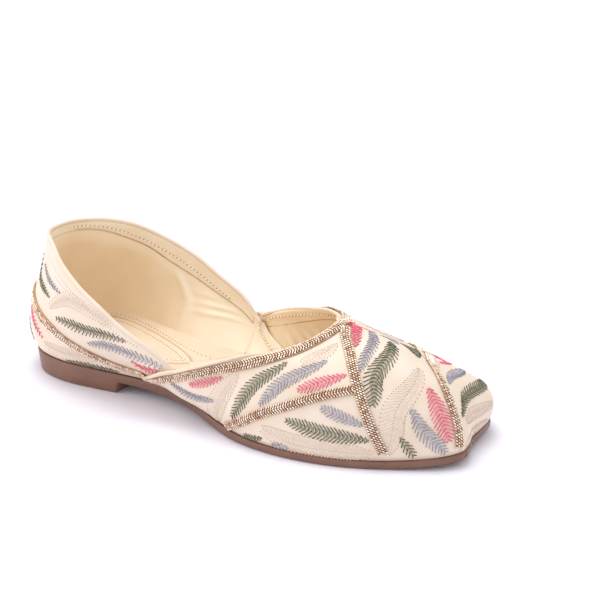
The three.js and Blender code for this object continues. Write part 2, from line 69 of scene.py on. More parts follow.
# %% Tables of the outline and of the walls
OUTLINE = table("along heel ball", """
    0 0 0, .016 -.475 0, .056 -.843 0, .12 -1 0, .188 -.984 0, .252 -.78 -.095, .32 -.5 -.235,
    .384 -.25 -.41, .448 0 -.66, .512 0 -.81, .58 0 -.945, .652 0 -1, .724 0 -.981, .792 0 -.903,
    .852 0 -.781, .904 0 -.643, .948 0 -.508, .981 0 -.37, 1 0 -.211, .997 0 -.043, .986 0 .151,
    .985 0 .376, .981 0 .602, .958 0 .796, .916 0 .899, .852 0 .929, .78 0 .929, .708 0 .912, .64 0 .867,
    .572 0 .787, .508 0 .65, .444 0 .55, .38 .25 .36, .316 .5 .21, .252 .78 .086, .188 .977 0, .12 1 0,
    .056 .843 0, .016 .475 0""")
SIDE_VIEW = table("along over under spring", """
    -.04 1 1 0, .1 1 1 0, .2 .98 .96 0, .3 .87 .8 0, .4 .65 .56 0, .48 .38 .28 0, .55 .14 .04 0,
    .62 .02 0 0, .72 0 0 0, .82 0 0 0, .88 0 0 .12, .94 0 0 .45, 1 0 0 1, 1.04 0 0 1.4""")
QUARTER = table("along side height belly lean", """
    .016 0 .985 .2 .02, .036 .27 1 .2 .03, .084 .53 .995 .17 .04, .138 .77 .935 .13 .04,
    .202 .925 .83 .1 .03, .26 .987 .73 .1 .03, .32 1 .606 .12 .03, .38 .975 .5 .15 .03,
    .434 .9 .36 .15 .02""")
WING_SHARES = [0.07, 0.5, 1.02]
INNER_WING_SHARES = [0.07, 0.52, 1.12]
VAMP = table("along side height lift flare reach dip", """
    .493 -1.005 .63 .3 .08 0 .33, .548 -.912 .73 .4 .05 .05 .25, .595 -.8 .799 .5 .028 .25 .12,
    .634 -.674 .844 .55 .022 .4 .061, .664 -.522 .89 .6 .022 .45 .041,
    .683 -.377 .931 .599 .02 .499 .032, .695 -.247 .967 .549 .016 .499 .022,
    .702 -.144 .992 .518 .009 .518 .011, .705 -.061 1.007 .509 .005 .541 .001,
    .704 .019 1.014 .521 .012 .558 .001, .704 .094 1.004 .546 .032 .575 .038,
    .703 .163 .983 .579 .063 .591 .117, .697 .241 .954 .604 .099 .614 .228,
    .686 .329 .923 .616 .127 .615 .353, .67 .43 .891 .557 .118 .56 .442,
    .657 .566 .877 .543 .087 .509 .344, .636 .692 .855 .564 .058 .456 .236,
    .605 .808 .821 .545 .037 .39 .169, .57 .882 .769 .485 .03 .286 .152, .53 .927 .701 .444 .03 .139 .19,
    .488 .957 .632 .4 .028 .042 .242, .455 .969 .566 .36 .027 0 .3""")
STATIONS = len(OUTLINE["along"])
QUARTER_STEPS = len(QUARTER["along"])
WINGS = len(WING_SHARES)
QUARTER_FIRST, QUARTER_LAST = STATIONS - QUARTER_STEPS + 1, STATIONS + QUARTER_STEPS - 1
VAMP_FIRST = QUARTER_STEPS - WINGS
VAMP_LAST = VAMP_FIRST + len(VAMP["along"]) + 2 * WINGS - 1
print("quarter", QUARTER_FIRST, QUARTER_LAST, "vamp", VAMP_FIRST, VAMP_LAST)

# %% [markdown]
# ## From tables to surfaces
# A smooth curve through the rows of a table gives every value in between. A section is a Bezier curve
# with four control points, and a surface is a run of sections. These few functions give any point of the
# upper, its outward direction, and how to walk a measured distance over it.


# %% Smooth values between rows
def smooth(values, place):
    """A value between the rows of an array; the ends run on straight."""
    values = np.asarray(values, float)
    place = np.asarray(place, float)
    rows = np.concatenate([[2 * values[0] - values[1]], values, [2 * values[-1] - values[-2]]])
    i = np.clip(np.floor(place).astype(int), 0, len(values) - 2)
    f = (place - i).reshape(place.shape + (1,) * (values.ndim - 1))
    a, b, c, d = rows[i], rows[i + 1], rows[i + 2], rows[i + 3]
    return (2 * b + (c - a) * f + (2 * a - 5 * b + 4 * c - d) * f ** 2 + (3 * b - a - 3 * c + d) * f ** 3) / 2


def unit(vectors):
    """Each vector with a length of 1."""
    return vectors / np.maximum(np.linalg.norm(vectors, axis=-1, keepdims=True), 1e-12)


print("halfway between 1 and 4, on a curve that starts at 0:", smooth([0, 1, 4], 1.5).round(2))

# %% The sole's edge
EDGE = np.stack([OUTLINE["along"] * SHOE_LENGTH,
                 (OUTLINE["heel"] * HEEL_WIDTH + OUTLINE["ball"] * BALL_WIDTH) / 2], -1)
EDGE_ROUND = np.concatenate([EDGE, EDGE, EDGE])


def edge(station):
    """The sole's outline on the floor."""
    return smooth(EDGE_ROUND, np.mod(station, STATIONS) + STATIONS)


def outwards(station):
    """The level direction away from the outline."""
    run = edge(np.asarray(station) + 0.01) - edge(np.asarray(station) - 0.01)
    return unit(np.stack([run[..., 1], -run[..., 0], 0 * run[..., 0]], -1))


def side_heights(x):
    """The heights of the sole's upper face and underside at a distance from the heel's back."""
    place = np.interp(np.asarray(x) / SHOE_LENGTH, SIDE_VIEW["along"], np.arange(len(SIDE_VIEW["along"])))
    over, under, spring = [np.maximum(smooth(SIDE_VIEW[k], place), 0) for k in ("over", "under", "spring")]
    return (SOLE_THICKNESS + over * (HEEL_LIFT - SOLE_THICKNESS) + spring * TOE_SPRING,
            under * (HEEL_LIFT - SHANK_THICKNESS) + spring * TOE_SPRING)


def foot_line(station):
    """Where the upper's outer face stands on the sole."""
    flat = edge(station)
    height = side_heights(flat[..., 0])[0]
    offset = SOLE_FLARE * height / HEEL_LIFT - WELT
    return outwards(station) * offset[..., None] + np.stack([flat[..., 0], flat[..., 1], height + SEAM], -1)


print("sole, heel side to ball side:", EDGE.min(0).round(1), EDGE.max(0).round(1), "mm")

# %% Sections of the quarter and of the vamp
def quarter_section(station):
    """Four control points of the quarter, from the sole to the collar."""
    steps = station - STATIONS
    row = {key: values[abs(steps)] for key, values in QUARTER.items()}
    away, foot = outwards(station), foot_line(float(station))
    top = np.array([row["along"] * SHOE_LENGTH, -np.sign(steps) * row["side"] * COLLAR_WIDTH / 2,
                    row["height"] * COLLAR_HEIGHT])
    rise = np.array([0, 0, top[2] - foot[2]])
    low = foot + away * row["belly"] * HEEL_WIDTH + rise * BELLY_HEIGHT
    return np.array([foot, low, top + away * row["lean"] * HEEL_WIDTH - rise * LEAN_DEPTH, top])


def lower_part(points, share):
    """The first part of a Bezier curve as a curve of its own."""
    share = np.asarray(share)[..., None]
    p0, p1, p2, p3 = [points[..., k, :] for k in range(4)]
    ab, bc, cd = [a + (b - a) * share for a, b in ((p0, p1), (p1, p2), (p2, p3))]
    abc, bcd = ab + (bc - ab) * share, bc + (cd - bc) * share
    return np.stack([p0, ab, abc, abc + (bcd - abc) * share], -2)


def vamp_section(station):
    """Four control points of the vamp; its wings follow the quarter."""
    inner = station > STATIONS / 2
    steps = VAMP_LAST - station if inner else station - VAMP_FIRST
    if steps < WINGS:
        shares = INNER_WING_SHARES if inner else WING_SHARES
        lower = lower_part(quarter_section(station if inner else station + STATIONS), shares[steps])
        return lower + outwards(station) * LAP
    row = {key: values[station - VAMP_FIRST - WINGS] for key, values in VAMP.items()}
    foot = foot_line(float(station))
    top = np.array([row["along"] * SHOE_LENGTH, row["side"] * THROAT_WIDTH / 2, row["height"] * INSTEP_HEIGHT])
    rise = np.array([0, 0, top[2] - foot[2]])
    run = np.array([foot[0] - top[0], foot[1] - top[1], 0])
    low = foot + outwards(station) * row["flare"] * BALL_WIDTH + rise * row["lift"]
    return np.array([foot, low, top + run * row["reach"] - rise * row["dip"], top])


print("the collar at the heel's back:", quarter_section(STATIONS)[3].round(1), "mm")

# %% A surface through sections
NUDGE = 0.01


class Skin:
    """A bent surface. Its places are a station along it and a share up from the sole."""

    def __init__(self, section, first, last):
        self.first, self.last = first, last
        self.sections = np.array([section(k) for k in range(first, last + 1)])

    def controls(self, station):
        """The four control points at a station."""
        return smooth(self.sections, np.asarray(station, float) - self.first)

    def at(self, station, up):
        """The point at a place, in millimetres."""
        points, up = self.controls(station), np.asarray(up, float)[..., None]
        down = 1 - up
        p0, p1, p2, p3 = [points[..., k, :] for k in range(4)]
        return p0 * down ** 3 + 3 * p1 * down ** 2 * up + 3 * p2 * down * up ** 2 + p3 * up ** 3

    def slopes(self, station, up):
        """The directions along and up the surface, and the direction out of it."""
        station, up = np.asarray(station, float), np.asarray(up, float)
        along = (self.at(station + NUDGE, up) - self.at(station - NUDGE, up)) / (2 * NUDGE)
        rise = (self.at(station, up + NUDGE) - self.at(station, up - NUDGE)) / (2 * NUDGE)
        return along, rise, unit(np.cross(along, rise))

    def raised(self, station, up, height):
        """The point a height above the surface."""
        return self.at(station, up) + self.slopes(station, up)[2] * np.asarray(height, float)[..., None]

    def walk(self, station, up, move):
        """The place that a short move in millimetres leads to."""
        along, rise, _ = self.slopes(station, up)
        aa, ar, rr = (along * along).sum(-1), (along * rise).sum(-1), (rise * rise).sum(-1)
        am, rm = (along * move).sum(-1), (rise * move).sum(-1)
        scale = aa * rr - ar * ar
        return station + (am * rr - rm * ar) / scale, up + (rm * aa - am * ar) / scale


class Vamp(Skin):
    """The vamp, whose wings lie on the quarter all the way."""

    def controls(self, station):
        station = np.asarray(station, float)
        points = super().controls(station)
        inner = station > STATIONS / 2
        steps = np.where(inner, self.last - station, station - self.first)
        steps_in = np.clip(steps, 0, WINGS - 1)
        share = np.where(inner, smooth(INNER_WING_SHARES, steps_in), smooth(WING_SHARES, steps_in))
        laid = lower_part(quarter.controls(np.where(inner, station, station + STATIONS)), share)
        laid = laid + outwards(station)[..., None, :] * LAP
        return np.where((steps < WINGS - 1)[..., None, None], laid, points)


quarter = Skin(quarter_section, QUARTER_FIRST, QUARTER_LAST)
vamp = Vamp(vamp_section, VAMP_FIRST, VAMP_LAST)
print("top of the instep at", vamp.at(18.2, 1.0).round(1), "mm")

# %% [markdown]
# ## Making meshes
# A piece that follows the upper starts as a flat grid, and each of its points is then moved to its place
# on the surface. A stitch, bead or pinhole is one tiny shape, made once and copied to many places.


# %% Helpers for pieces
def to_metres(points):
    """From millimetres with x from the heel's back to metres with x from the middle of the heel."""
    return (np.asarray(points) - [HEEL_LENGTH / 2, 0, 0]) / 1000


def shown(name, data):
    """A new object in the scene."""
    thing = bpy.data.objects.new(name, data)
    bpy.context.scene.collection.objects.link(thing)
    return thing


def meshed(name, bm, materials):
    """A bmesh becomes a mesh with its materials."""
    mesh = bpy.data.meshes.new(name)
    bm.to_mesh(mesh)
    bm.free()
    for material in materials:
        mesh.materials.append(material)
    return mesh


def dressed(name, mesh, nodes=()):
    """A mesh becomes a smooth piece of the shoe."""
    mesh.polygons.foreach_set("use_smooth", [True] * len(mesh.polygons))
    piece = shown(name, mesh)
    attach(piece, "root")
    if nodes:
        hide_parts(*nodes)
    print(name, len(mesh.polygons), "faces")
    return piece


def finish_piece(name, bm, materials, nodes=()):
    """A bmesh becomes a piece of the shoe."""
    return dressed(name, meshed(name, bm, materials), nodes)


def laid_grid(columns, rows, place, cloth=None, painted_shade=None):
    """A grid of faces whose points are moved to place(across, along), both from 0 to 1."""
    bm = bmesh.new()
    bmesh.ops.create_grid(bm, x_segments=columns, y_segments=rows, size=0.5)
    for face in bm.faces if cloth else []:
        middle = face.calc_center_median()
        face.material_index = cloth(middle.x + 0.5, middle.y + 0.5)
    shares = np.array([v.co[:2] for v in bm.verts]) + 0.5
    points = to_metres(place(shares[:, 0], shares[:, 1]))
    for vertex, point in zip(bm.verts, points):
        vertex.co = point
    # a value on each point that paints highlight and shade into the cloth's colour
    if painted_shade:
        layer = bm.verts.layers.float.new("painted_shade")
        for vertex, value in zip(bm.verts, painted_shade(shares[:, 0], shares[:, 1])):
            vertex[layer] = value
    return bm


def close(bm, weld=2e-5):
    """Welds doubled points, covers open ends and turns the faces outwards."""
    bmesh.ops.remove_doubles(bm, verts=bm.verts, dist=weld)
    bmesh.ops.holes_fill(bm, edges=[e for e in bm.edges if e.is_boundary], sides=0)
    bmesh.ops.recalc_face_normals(bm, faces=bm.faces)


# %% Helper for small repeated shapes
END_BLUNTNESS, SIDE_FULLNESS = 0.45, 0.5


def tiny_shape(segments, rings):
    """A stitch or bead: a small closed shape of radius 1 with its poles on the x axis."""
    bm = bmesh.new()
    bmesh.ops.create_uvsphere(bm, u_segments=segments, v_segments=rings, radius=1)
    bmesh.ops.rotate(bm, verts=bm.verts, matrix=Matrix.Rotation(math.pi / 2, 3, "Y"))
    bm.verts.index_update()
    points = np.array([v.co[:] for v in bm.verts])
    around = np.linalg.norm(points[:, 1:], axis=1, keepdims=True)
    points[:, :1] = np.sign(points[:, :1]) * np.abs(points[:, :1]) ** END_BLUNTNESS
    points[:, 1:] *= np.maximum(around, 1e-6) ** -SIDE_FULLNESS
    faces = [[v.index for v in f.verts] for f in bm.faces]
    bm.free()
    return points, faces


STITCH = tiny_shape(6, 5)
BEAD = tiny_shape(6, 4)
print("a stitch has", len(STITCH[1]), "faces, a bead", len(BEAD[1]))


def strew(name, shape, copies, material):
    """Copies of a tiny shape as one piece. Each copy has its middle, three half axes and a tone, and each point's
    tone is mixed with a painted highlight on the shape's crown and painted shade at its ends and flanks.
    """
    points, faces = shape
    middles, longs, wides, highs, tones = copies
    count = len(middles)
    axes = np.stack([longs, wides, highs], 1)
    placed = np.einsum("pk,nkc->npc", points, axes) + middles[:, None, :]
    sizes = np.array([len(f) for f in faces])
    corners = np.concatenate([np.array(f) for f in faces])
    mesh = bpy.data.meshes.new(name)
    mesh.vertices.add(count * len(points))
    mesh.vertices.foreach_set("co", to_metres(placed.reshape(-1, 3)).ravel())
    mesh.loops.add(count * len(corners))
    offsets = np.arange(count)[:, None] * len(points)
    mesh.loops.foreach_set("vertex_index", (corners[None, :] + offsets).ravel())
    starts = np.concatenate([[0], np.cumsum(sizes)[:-1]])
    mesh.polygons.add(count * len(faces))
    first_corners = np.arange(count)[:, None] * len(corners)
    mesh.polygons.foreach_set("loop_start", (starts[None, :] + first_corners).ravel())
    # each point is paler towards the shape's crown and darker at its ends and flanks: a painted highlight and
    # painted shade
    painted_crown_light = 0.5 + 0.5 * points[:, 2] - 0.35 * np.abs(points[:, 0])
    tone = mesh.attributes.new("tone", "FLOAT", "POINT")
    tone.data.foreach_set("value", np.clip(0.72 * tones[:, None] + 0.34 * painted_crown_light[None, :], 0, 1).ravel())
    mesh.update(calc_edges=True)
    mesh.materials.append(material)
    dressed(name, mesh)


# %% [markdown]
# ## Materials
# The shoe's shell is a coated cloth that looks like smooth leather, its lining a softer one. The threads
# are twisted polyester, the braids are wound with metallised film, and the sole is a moulded rubber with
# a satin skin.


# %% Helpers for materials
def linear(code):
    """A colour given as an sRGB hex code, as linear red, green, blue and alpha."""
    values = [int(code[i:i + 2], 16) / 255 for i in (1, 3, 5)]
    return [v / 12.92 if v <= 0.04045 else ((v + 0.055) / 1.055) ** 2.4 for v in values] + [1.0]


def add(material, kind, gives, inputs=None, settings=None, stops=()):
    """Adds one node and gives its named output. An input is a value or another node's output,
    and stops are the places and hex codes of a colour ramp."""
    tree = material.node_tree
    node = tree.nodes.new("ShaderNode" + kind)
    for name, value in (settings or {}).items():
        setattr(node, name, value)
    for name, value in (inputs or {}).items():
        if isinstance(value, bpy.types.NodeSocket):
            tree.links.new(value, node.inputs[name])
        else:
            node.inputs[name].default_value = value
    for k, (place, code) in enumerate(stops):
        elements = node.color_ramp.elements
        element = elements[k] if k < len(elements) else elements.new(place)
        element.position, element.color = place, linear(code)
    return node.outputs[gives]


def started(name, roughness, **others):
    """A new material with its shader and its place coordinates."""
    material = bpy.data.materials.new(name)
    material.use_nodes = True
    shader = material.node_tree.nodes["Principled BSDF"]
    shader.inputs["Roughness"].default_value = roughness
    for key, value in others.items():
        shader.inputs[key.replace("_", " ")].default_value = value
    return material, shader, add(material, "TexCoord", "Object")


def join(material, output, shader, socket):
    """Links a node's output to the shader."""
    material.node_tree.links.new(output, shader.inputs[socket])


print("middle grey is", [round(v, 3) for v in linear("#808080")])

# %% Coated cloth of the shell and the lining
# Polyurethane-coated cloth is calendered smooth. It gives the eye a soft, even sheen with only a fine
# grain and a slow unevenness in it; the lining's colour also holds painted highlight and shade on its ridge and
# folds.
UNEVEN_MM, SLOW_MM = 14.0, 11.0


def coated_cloth(name, stops, roughness, grain_mm, depth):
    material, shader, place = started(name, roughness)
    spots = add(material, "TexNoise", "Fac", {"Vector": place, "Scale": 1000 / UNEVEN_MM, "Detail": 2.0})
    uneven = add(material, "Math", 0, {0: spots, 1: 0.3, 2: 0.35}, {"operation": "MULTIPLY_ADD"})
    # painted highlight and shade kept on the points make the colour paler or darker
    painted_shade = add(material, "Attribute", "Fac", settings={"attribute_name": "painted_shade"})
    uneven_and_painted_shade = add(material, "Math", 0, {0: painted_shade, 1: 0.5, 2: uneven}, {"operation": "MULTIPLY_ADD"})
    join(material, add(material, "ValToRGB", "Color", {"Fac": uneven_and_painted_shade}, stops=stops), shader, "Base Color")
    fine = add(material, "TexNoise", "Fac", {"Vector": place, "Scale": 1000 / grain_mm, "Detail": 3.0})
    grain = add(material, "Bump", "Normal", {"Height": fine, "Strength": depth, "Distance": 0.0002})
    waves = add(material, "TexNoise", "Fac", {"Vector": place, "Scale": 1000 / SLOW_MM, "Detail": 1.0})
    slow = add(material, "Bump", "Normal",
               {"Height": waves, "Strength": 0.35, "Distance": 0.0006, "Normal": grain})
    join(material, slow, shader, "Normal")
    return material


# the ivory shell: a warm, light skin; the cream and warm linings: yellower and more matt, with painted highlight
# and shade on their folds
shell = coated_cloth("ivory coated cloth", [(0.45, "#e2cfba"), (0.55, "#e7d6c6")], 0.42, 0.7, 0.25)
lining = coated_cloth("cream lining cloth", [(0.1, "#e3c397"), (0.44, "#f2dfc1"), (0.56, "#f6e6cd"),
                                             (0.9, "#fff5e3")], 0.5, 0.9, 0.2)
# the warm lining is the lining cloth with a darker, warmer ramp: painted shade for the inside of the toe
vamp_lining = coated_cloth("warm lining cloth", [(0.1, "#d6b182"), (0.44, "#ebcea5"), (0.56, "#efd6b2"),
                                                 (0.9, "#fae6ca")], 0.5, 0.9, 0.2)
# the sock is the most matt, and the binding is a shade yellower than the shell, so that it shows as a line
sock_cloth = coated_cloth("cream sock cloth", [(0.45, "#e8d2b8"), (0.55, "#ecd9c1")], 0.55, 0.8, 0.25)
rim_cloth = coated_cloth("ivory binding", [(0.45, "#e5cdb2"), (0.55, "#e9d4bb")], 0.45, 0.7, 0.25)
print("cloths:", len(bpy.data.materials))


# %% Thread and metallised yarn
def thread(name, stops, roughness=0.45, metal=0.0, twist_mm=0.35):
    """Yarn: each stitch has its own tone, with a painted highlight on its crown and painted shade at its ends and
    flanks, and twisted thread has fine ridges that break its shine.
    """
    material, shader, place = started(name, roughness, Metallic=metal)
    tone = add(material, "Attribute", "Fac", settings={"attribute_name": "tone"})
    join(material, add(material, "ValToRGB", "Color", {"Fac": tone}, stops=stops), shader, "Base Color")
    if twist_mm:
        ridges = add(material, "TexNoise", "Fac", {"Vector": place, "Scale": 1000 / twist_mm, "Detail": 1.0})
        twist = add(material, "Bump", "Normal", {"Height": ridges, "Strength": 0.5, "Distance": 0.0001})
        join(material, twist, shader, "Normal")
    return material


# twisted polyester of the leaves: a soft shine, with painted shade at a stitch's foot and a painted highlight on
# its crown
green_thread = thread("green thread", [(0.0, "#2a2e1e"), (0.45, "#565a3e"), (1.0, "#adae8d")])
lilac_thread = thread("lilac thread", [(0.0, "#68697a"), (0.45, "#9a9aab"), (1.0, "#e2dee5")])
pink_thread = thread("pink thread", [(0.0, "#c4284f"), (0.45, "#f0527b"), (1.0, "#ffb8c5")])
cream_thread = thread("cream thread", [(0.0, "#e2cdb9"), (0.6, "#f1dfcf"), (1.0, "#fbf2e8")])
pale_thread = thread("pale lining thread", [(0.0, "#f8ead2"), (1.0, "#fffdf6")])
# the shaded bottoms of the needle holes, in the shell and in the lining
pinhole = thread("needle hole", [(0.0, "#8a7460"), (1.0, "#ab917a")])
lining_hole = thread("lining needle hole", [(0.0, "#ad8552"), (1.0, "#cfa671")])
# yarn wound with metallised film: a metal skin whose strips shine one by one, each bar with a painted highlight on
# its crown and painted shade at its ends
rose_film = thread("rose metallised yarn", [(0.0, "#7d5039"), (0.25, "#cfa587"), (0.55, "#f4dac0"),
                                            (0.85, "#fff6e8")], 0.28, 0.85, 0)
cord_yarn = thread("brown metallised cord", [(0.0, "#b08a6e"), (1.0, "#ecd0b4")], 0.4, 0.85, 0)


# %% Braid ground and moulded rubber
def mottled(name, roughness, spot_mm, stops):
    """A plain material with soft spots of a size."""
    material, shader, place = started(name, roughness)
    spots = add(material, "TexNoise", "Fac", {"Vector": place, "Scale": 1000 / spot_mm, "Detail": 2.0})
    join(material, add(material, "ValToRGB", "Color", {"Fac": spots}, stops=stops), shader, "Base Color")
    return material, shader, place


# the dark, matt yarn that shows between a braid's bars
braid_ground = mottled("brown braid ground", 0.7, 0.8, [(0.3, "#73513e"), (0.7, "#9c785e")])[0]
# moulded rubber: the mould leaves a satin skin with very fine pits
rubber, rubber_shader, rubber_place = mottled("taupe moulded rubber", 0.42, 9.0,
                                              [(0.3, "#775344"), (0.7, "#805b4b")])
pits = add(rubber, "TexNoise", "Fac", {"Vector": rubber_place, "Scale": 1000 / 1.2, "Detail": 3.0})
rubber_skin = add(rubber, "Bump", "Normal", {"Height": pits, "Strength": 0.2, "Distance": 0.0002})
join(rubber, rubber_skin, rubber_shader, "Normal")
print("materials:", len(bpy.data.materials))

# %% [markdown]
# ## The sole
# The sole is moulded in one piece with its low heel. Its edge is drawn as rings of points that go round
# the outline, stepped in at the top and bottom where the mould's corners are rounded. Its two faces are
# strips between the outer and the inner side.


# %% Rings of the sole
EDGE_SAMPLES = 4000


def side_stations(xs, first, last):
    """The stations of one side of the outline at given distances from the heel's back."""
    stations = np.linspace(first, last, EDGE_SAMPLES)
    along = edge(stations)[:, 0]
    order = np.argsort(along)
    return np.interp(xs, along[order], stations[order])


NIB = 18.2
END_ZONE, RING_GAP = 24, 4.0
ENDS = (1 - np.cos(np.linspace(0, math.pi / 2, 12))) * 22 + 0.02
BREAST_ROUND, BREAST_STAND, BREAST_STEEPNESS = 4.0, 2.6, 4.5
BREAST = np.arange(-3.0, 4.2, 0.36)
nose = edge(NIB)[0]
SOLE_XS = np.unique(np.concatenate([ENDS, np.arange(END_ZONE, HEEL_LENGTH - 4, RING_GAP), HEEL_LENGTH + BREAST,
                                    np.arange(HEEL_LENGTH + 6, nose - END_ZONE, RING_GAP), nose - ENDS]))
# how far each ring is set in, its drop from the upper face, and its rise from the underside
SOLE_RINGS = [(0.9, 0.0, None), (0.26, 0.26, None), (0.0, 0.9, None), (0.0, None, 0.9), (0.26, None, 0.26),
              (0.9, None, 0.0)]


def under_height(x, y, shank):
    """The underside: the heel stands on the floor, and its breast is rounded at both corners."""
    corner = np.clip((np.abs(y) - HEEL_WIDTH / 2 + BREAST_ROUND) / BREAST_ROUND, 0, 1)
    breast = HEEL_LENGTH + BREAST_STAND - BREAST_ROUND * (1 - np.sqrt(1 - corner ** 2))
    return shank / (1 + np.exp((breast - x) * BREAST_STEEPNESS))


def sole_ring(stations, inset, drop, lift):
    """One ring of the sole's edge on one side of the outline."""
    flat = edge(stations)
    over, shank = side_heights(flat[:, 0])
    height = under_height(flat[:, 0], flat[:, 1], shank) + lift if drop is None else over - drop
    points = np.stack([flat[:, 0], flat[:, 1], height], -1)
    return points + outwards(stations) * (SOLE_FLARE * height / HEEL_LIFT - inset)[:, None]


print("the sole is cut at", len(SOLE_XS), "places")

# %% The sole's mesh
outer_stations = side_stations(SOLE_XS, 0, NIB)
inner_stations = side_stations(SOLE_XS, NIB, STATIONS)
outer_rings = [sole_ring(outer_stations, *row) for row in SOLE_RINGS]
inner_rings = [sole_ring(inner_stations, *row) for row in SOLE_RINGS]
over_face = [inner_rings[0] + (outer_rings[0] - inner_rings[0]) * k / 10 for k in range(10)]
under_face = [outer_rings[-1] + (inner_rings[-1] - outer_rings[-1]) * (1 - math.cos(math.pi * k / 20)) / 2
              for k in range(1, 20)]
for strip in under_face:
    strip[:, 2] = under_height(strip[:, 0], strip[:, 1], side_heights(strip[:, 0])[1])
sole_rings = np.stack(over_face + outer_rings + under_face + inner_rings[::-1])


def sole_place(across, along):
    """Round the sole: over its upper face, down the outer edge, under it and up the inner edge."""
    ring = np.round(across * (len(sole_rings) - 1)).astype(int)
    row = np.round(along * (len(SOLE_XS) - 1)).astype(int)
    return sole_rings[ring, row]


sole_mesh = laid_grid(len(sole_rings) - 1, len(SOLE_XS) - 1, sole_place)
close(sole_mesh)
sole = finish_piece("sole", sole_mesh, [rubber], ["outsole"])
sole.data.set_sharp_from_angle(angle=math.radians(50))

# %% [markdown]
# ## The walls
# The quarter and the vamp are each one folded sheet: the outer face goes up from the sole, rolls over the
# top edge and comes down again as the lining. So each wall is one grid that goes round its own section,
# with the shell cloth outside and the lining cloth inside. Soft folds of the lining are laid in
# where the foot's bend leaves them.

# %% Folds of the lining
# a fold's place, its half length in stations, its half width in shares, its depth, and how it climbs forwards
FOLDS = table("station up length width depth climb", """
    33.3 .665 .55 .022 .9 .1, 32.9 .585 .8 .028 1.3 .11, 32.6 .5 .7 .028 1.1 .1, 33.2 .43 .6 .03 .7 .08,
    34.55 .765 .22 .016 .6 .05, 34.3 .715 .25 .018 .7 .06, 44.6 .62 .8 .028 1 .1, 45 .52 .8 .028 1.1 .1""")
GATHERS = table("station up length width depth climb", """
    29.5 .42 .09 .17 .9 0, 29 .44 .12 .17 1.2 0, 28.55 .46 .09 .17 1 0, 28 .48 .13 .17 1.2 0,
    27.3 .5 .11 .16 1 0, 26.4 .5 .12 .16 .7 0, 10.4 .44 .12 .17 .7 0, 11 .46 .12 .17 .8 0,
    11.8 .5 .12 .16 .6 0""")
# the front edge of the counter: share of the height, station
COUNTER = smooth([(0.0, 33.95), (0.42, 33.98), (0.56, 34.22), (0.7, 34.6), (0.83, 35.1), (1.0, 35.9)],
                 np.linspace(0, 5, 60)).T
COLLAR_SEAM = [(38.02, 0.958), (37.17, 0.942), (36.38, 0.9), (35.65, 0.867), (34.95, 0.808), (34.0, 0.775),
               (33.0, 0.76), (32.0, 0.75), (31.4, 0.745)]


def folds(rows, station, up):
    """How far the lining stands off its wall in its folds."""
    height = np.zeros(np.shape(station))
    for s, u, length, width, depth, climb in zip(*rows.values()):
        off = (up - u - climb * (s - station)) / width
        height += depth * np.exp(-((station - s) / length) ** 2 - off ** 2)
    return height


def counter_place(station, up):
    """Stations inwards from the front edge of the stiff counter, and how free the lining is of the collar."""
    step = STATIONS - np.abs(station - STATIONS)
    seam = np.interp(step, *np.transpose(COLLAR_SEAM[::-1]))
    return step - np.interp(up, *COUNTER), np.clip((seam - 0.02 - up) / 0.1, 0, 1)


def heel_lining(station, up):
    """A stiff counter round the heel swells the lining as far as a soft ridge, and folds lie before it."""
    inwards, free = counter_place(station, up)
    step = 0.5 + 0.5 * np.tanh(inwards / 0.1)
    ridge = 0.9 * np.exp(-((inwards - 0.05) / 0.13) ** 2)
    return (0.6 * step + ridge + 0.6 * folds(FOLDS, station, up) * (1 - step)) * free


def heel_painted_shade(station, up):
    """The lining's colour gets painted shade over the counter, a painted highlight on the ridge and on the folds'
    crests, and painted shade under the folds.
    """
    inwards, free = counter_place(station, up)
    step = 0.5 + 0.5 * np.tanh(inwards / 0.12)
    painted_ridge_highlight = np.exp(-((inwards + 0.08) / 0.13) ** 2) * np.clip(up / 0.35 - 0.6, 0, 1)
    under = folds(FOLDS, station, up + 0.035) * (1 - step)
    return (0.32 * painted_ridge_highlight - 0.3 * step + 0.2 * folds(FOLDS, station, up) * (1 - step) - 0.15 * under) * free


def gather_painted_shade(station, up):
    """The gathers of the vamp's lining get a painted highlight on top and painted shade behind them."""
    return 0.35 * folds(GATHERS, station, up) - 0.3 * folds(GATHERS, station + 0.2, up)


print("folds:", len(FOLDS["up"]), "at the heel,", len(GATHERS["up"]), "in the vamp")

# %% A folded wall
ROLL_STEPS, COLUMNS_PER_STATION = 6, 10


def folded_wall(name, skin, rows, thickness, tucked, painted_shade, inside, nodes):
    """A wall with a rolled top edge, shell cloth outside and lining cloth inside, closed under its foot."""
    total = 2 * rows + ROLL_STEPS + 1

    def place(across, along):
        station = skin.first + along * (skin.last - skin.first)
        step = across * total
        step = np.where(step > total - 0.5, 0, step)
        turn = np.clip((step - rows) / ROLL_STEPS, 0, 1) * math.pi
        up = np.clip(np.where(step < rows, step, total - 1 - step) / rows, 0, 1)
        _, rise, away = skin.slopes(station, up)
        half = thickness(station) / 2
        depth = half * (1 - np.cos(turn)) + np.where(turn > 3.14, tucked(station, up), 0)
        points = skin.at(station, up) - away * depth[:, None] + unit(rise) * (half * np.sin(turn))[:, None]
        points[:, 2] = np.maximum(points[:, 2], skin.at(station, 0 * up)[:, 2])
        return points

    # painted highlight and shade for the lining's inner face only
    def painted_shade_inside(across, along):
        up = np.clip(((1 - across) * total - 1) / rows, 0, 1)
        return painted_shade(skin.first + along * (skin.last - skin.first), up) * (across * total > rows + ROLL_STEPS)

    bm = laid_grid(total, (skin.last - skin.first) * COLUMNS_PER_STATION, place,
                   lambda across, along: int(across * total > rows + ROLL_STEPS * 0.7), painted_shade_inside)
    close(bm, 1e-5)
    return finish_piece(name, bm, [shell, inside], nodes)


# %% The quarter and the vamp
WING_WALL = 1.2


def from_wing(station):
    """Stations from the end of the nearer wing."""
    return np.minimum(station - VAMP_FIRST, VAMP_LAST - station)


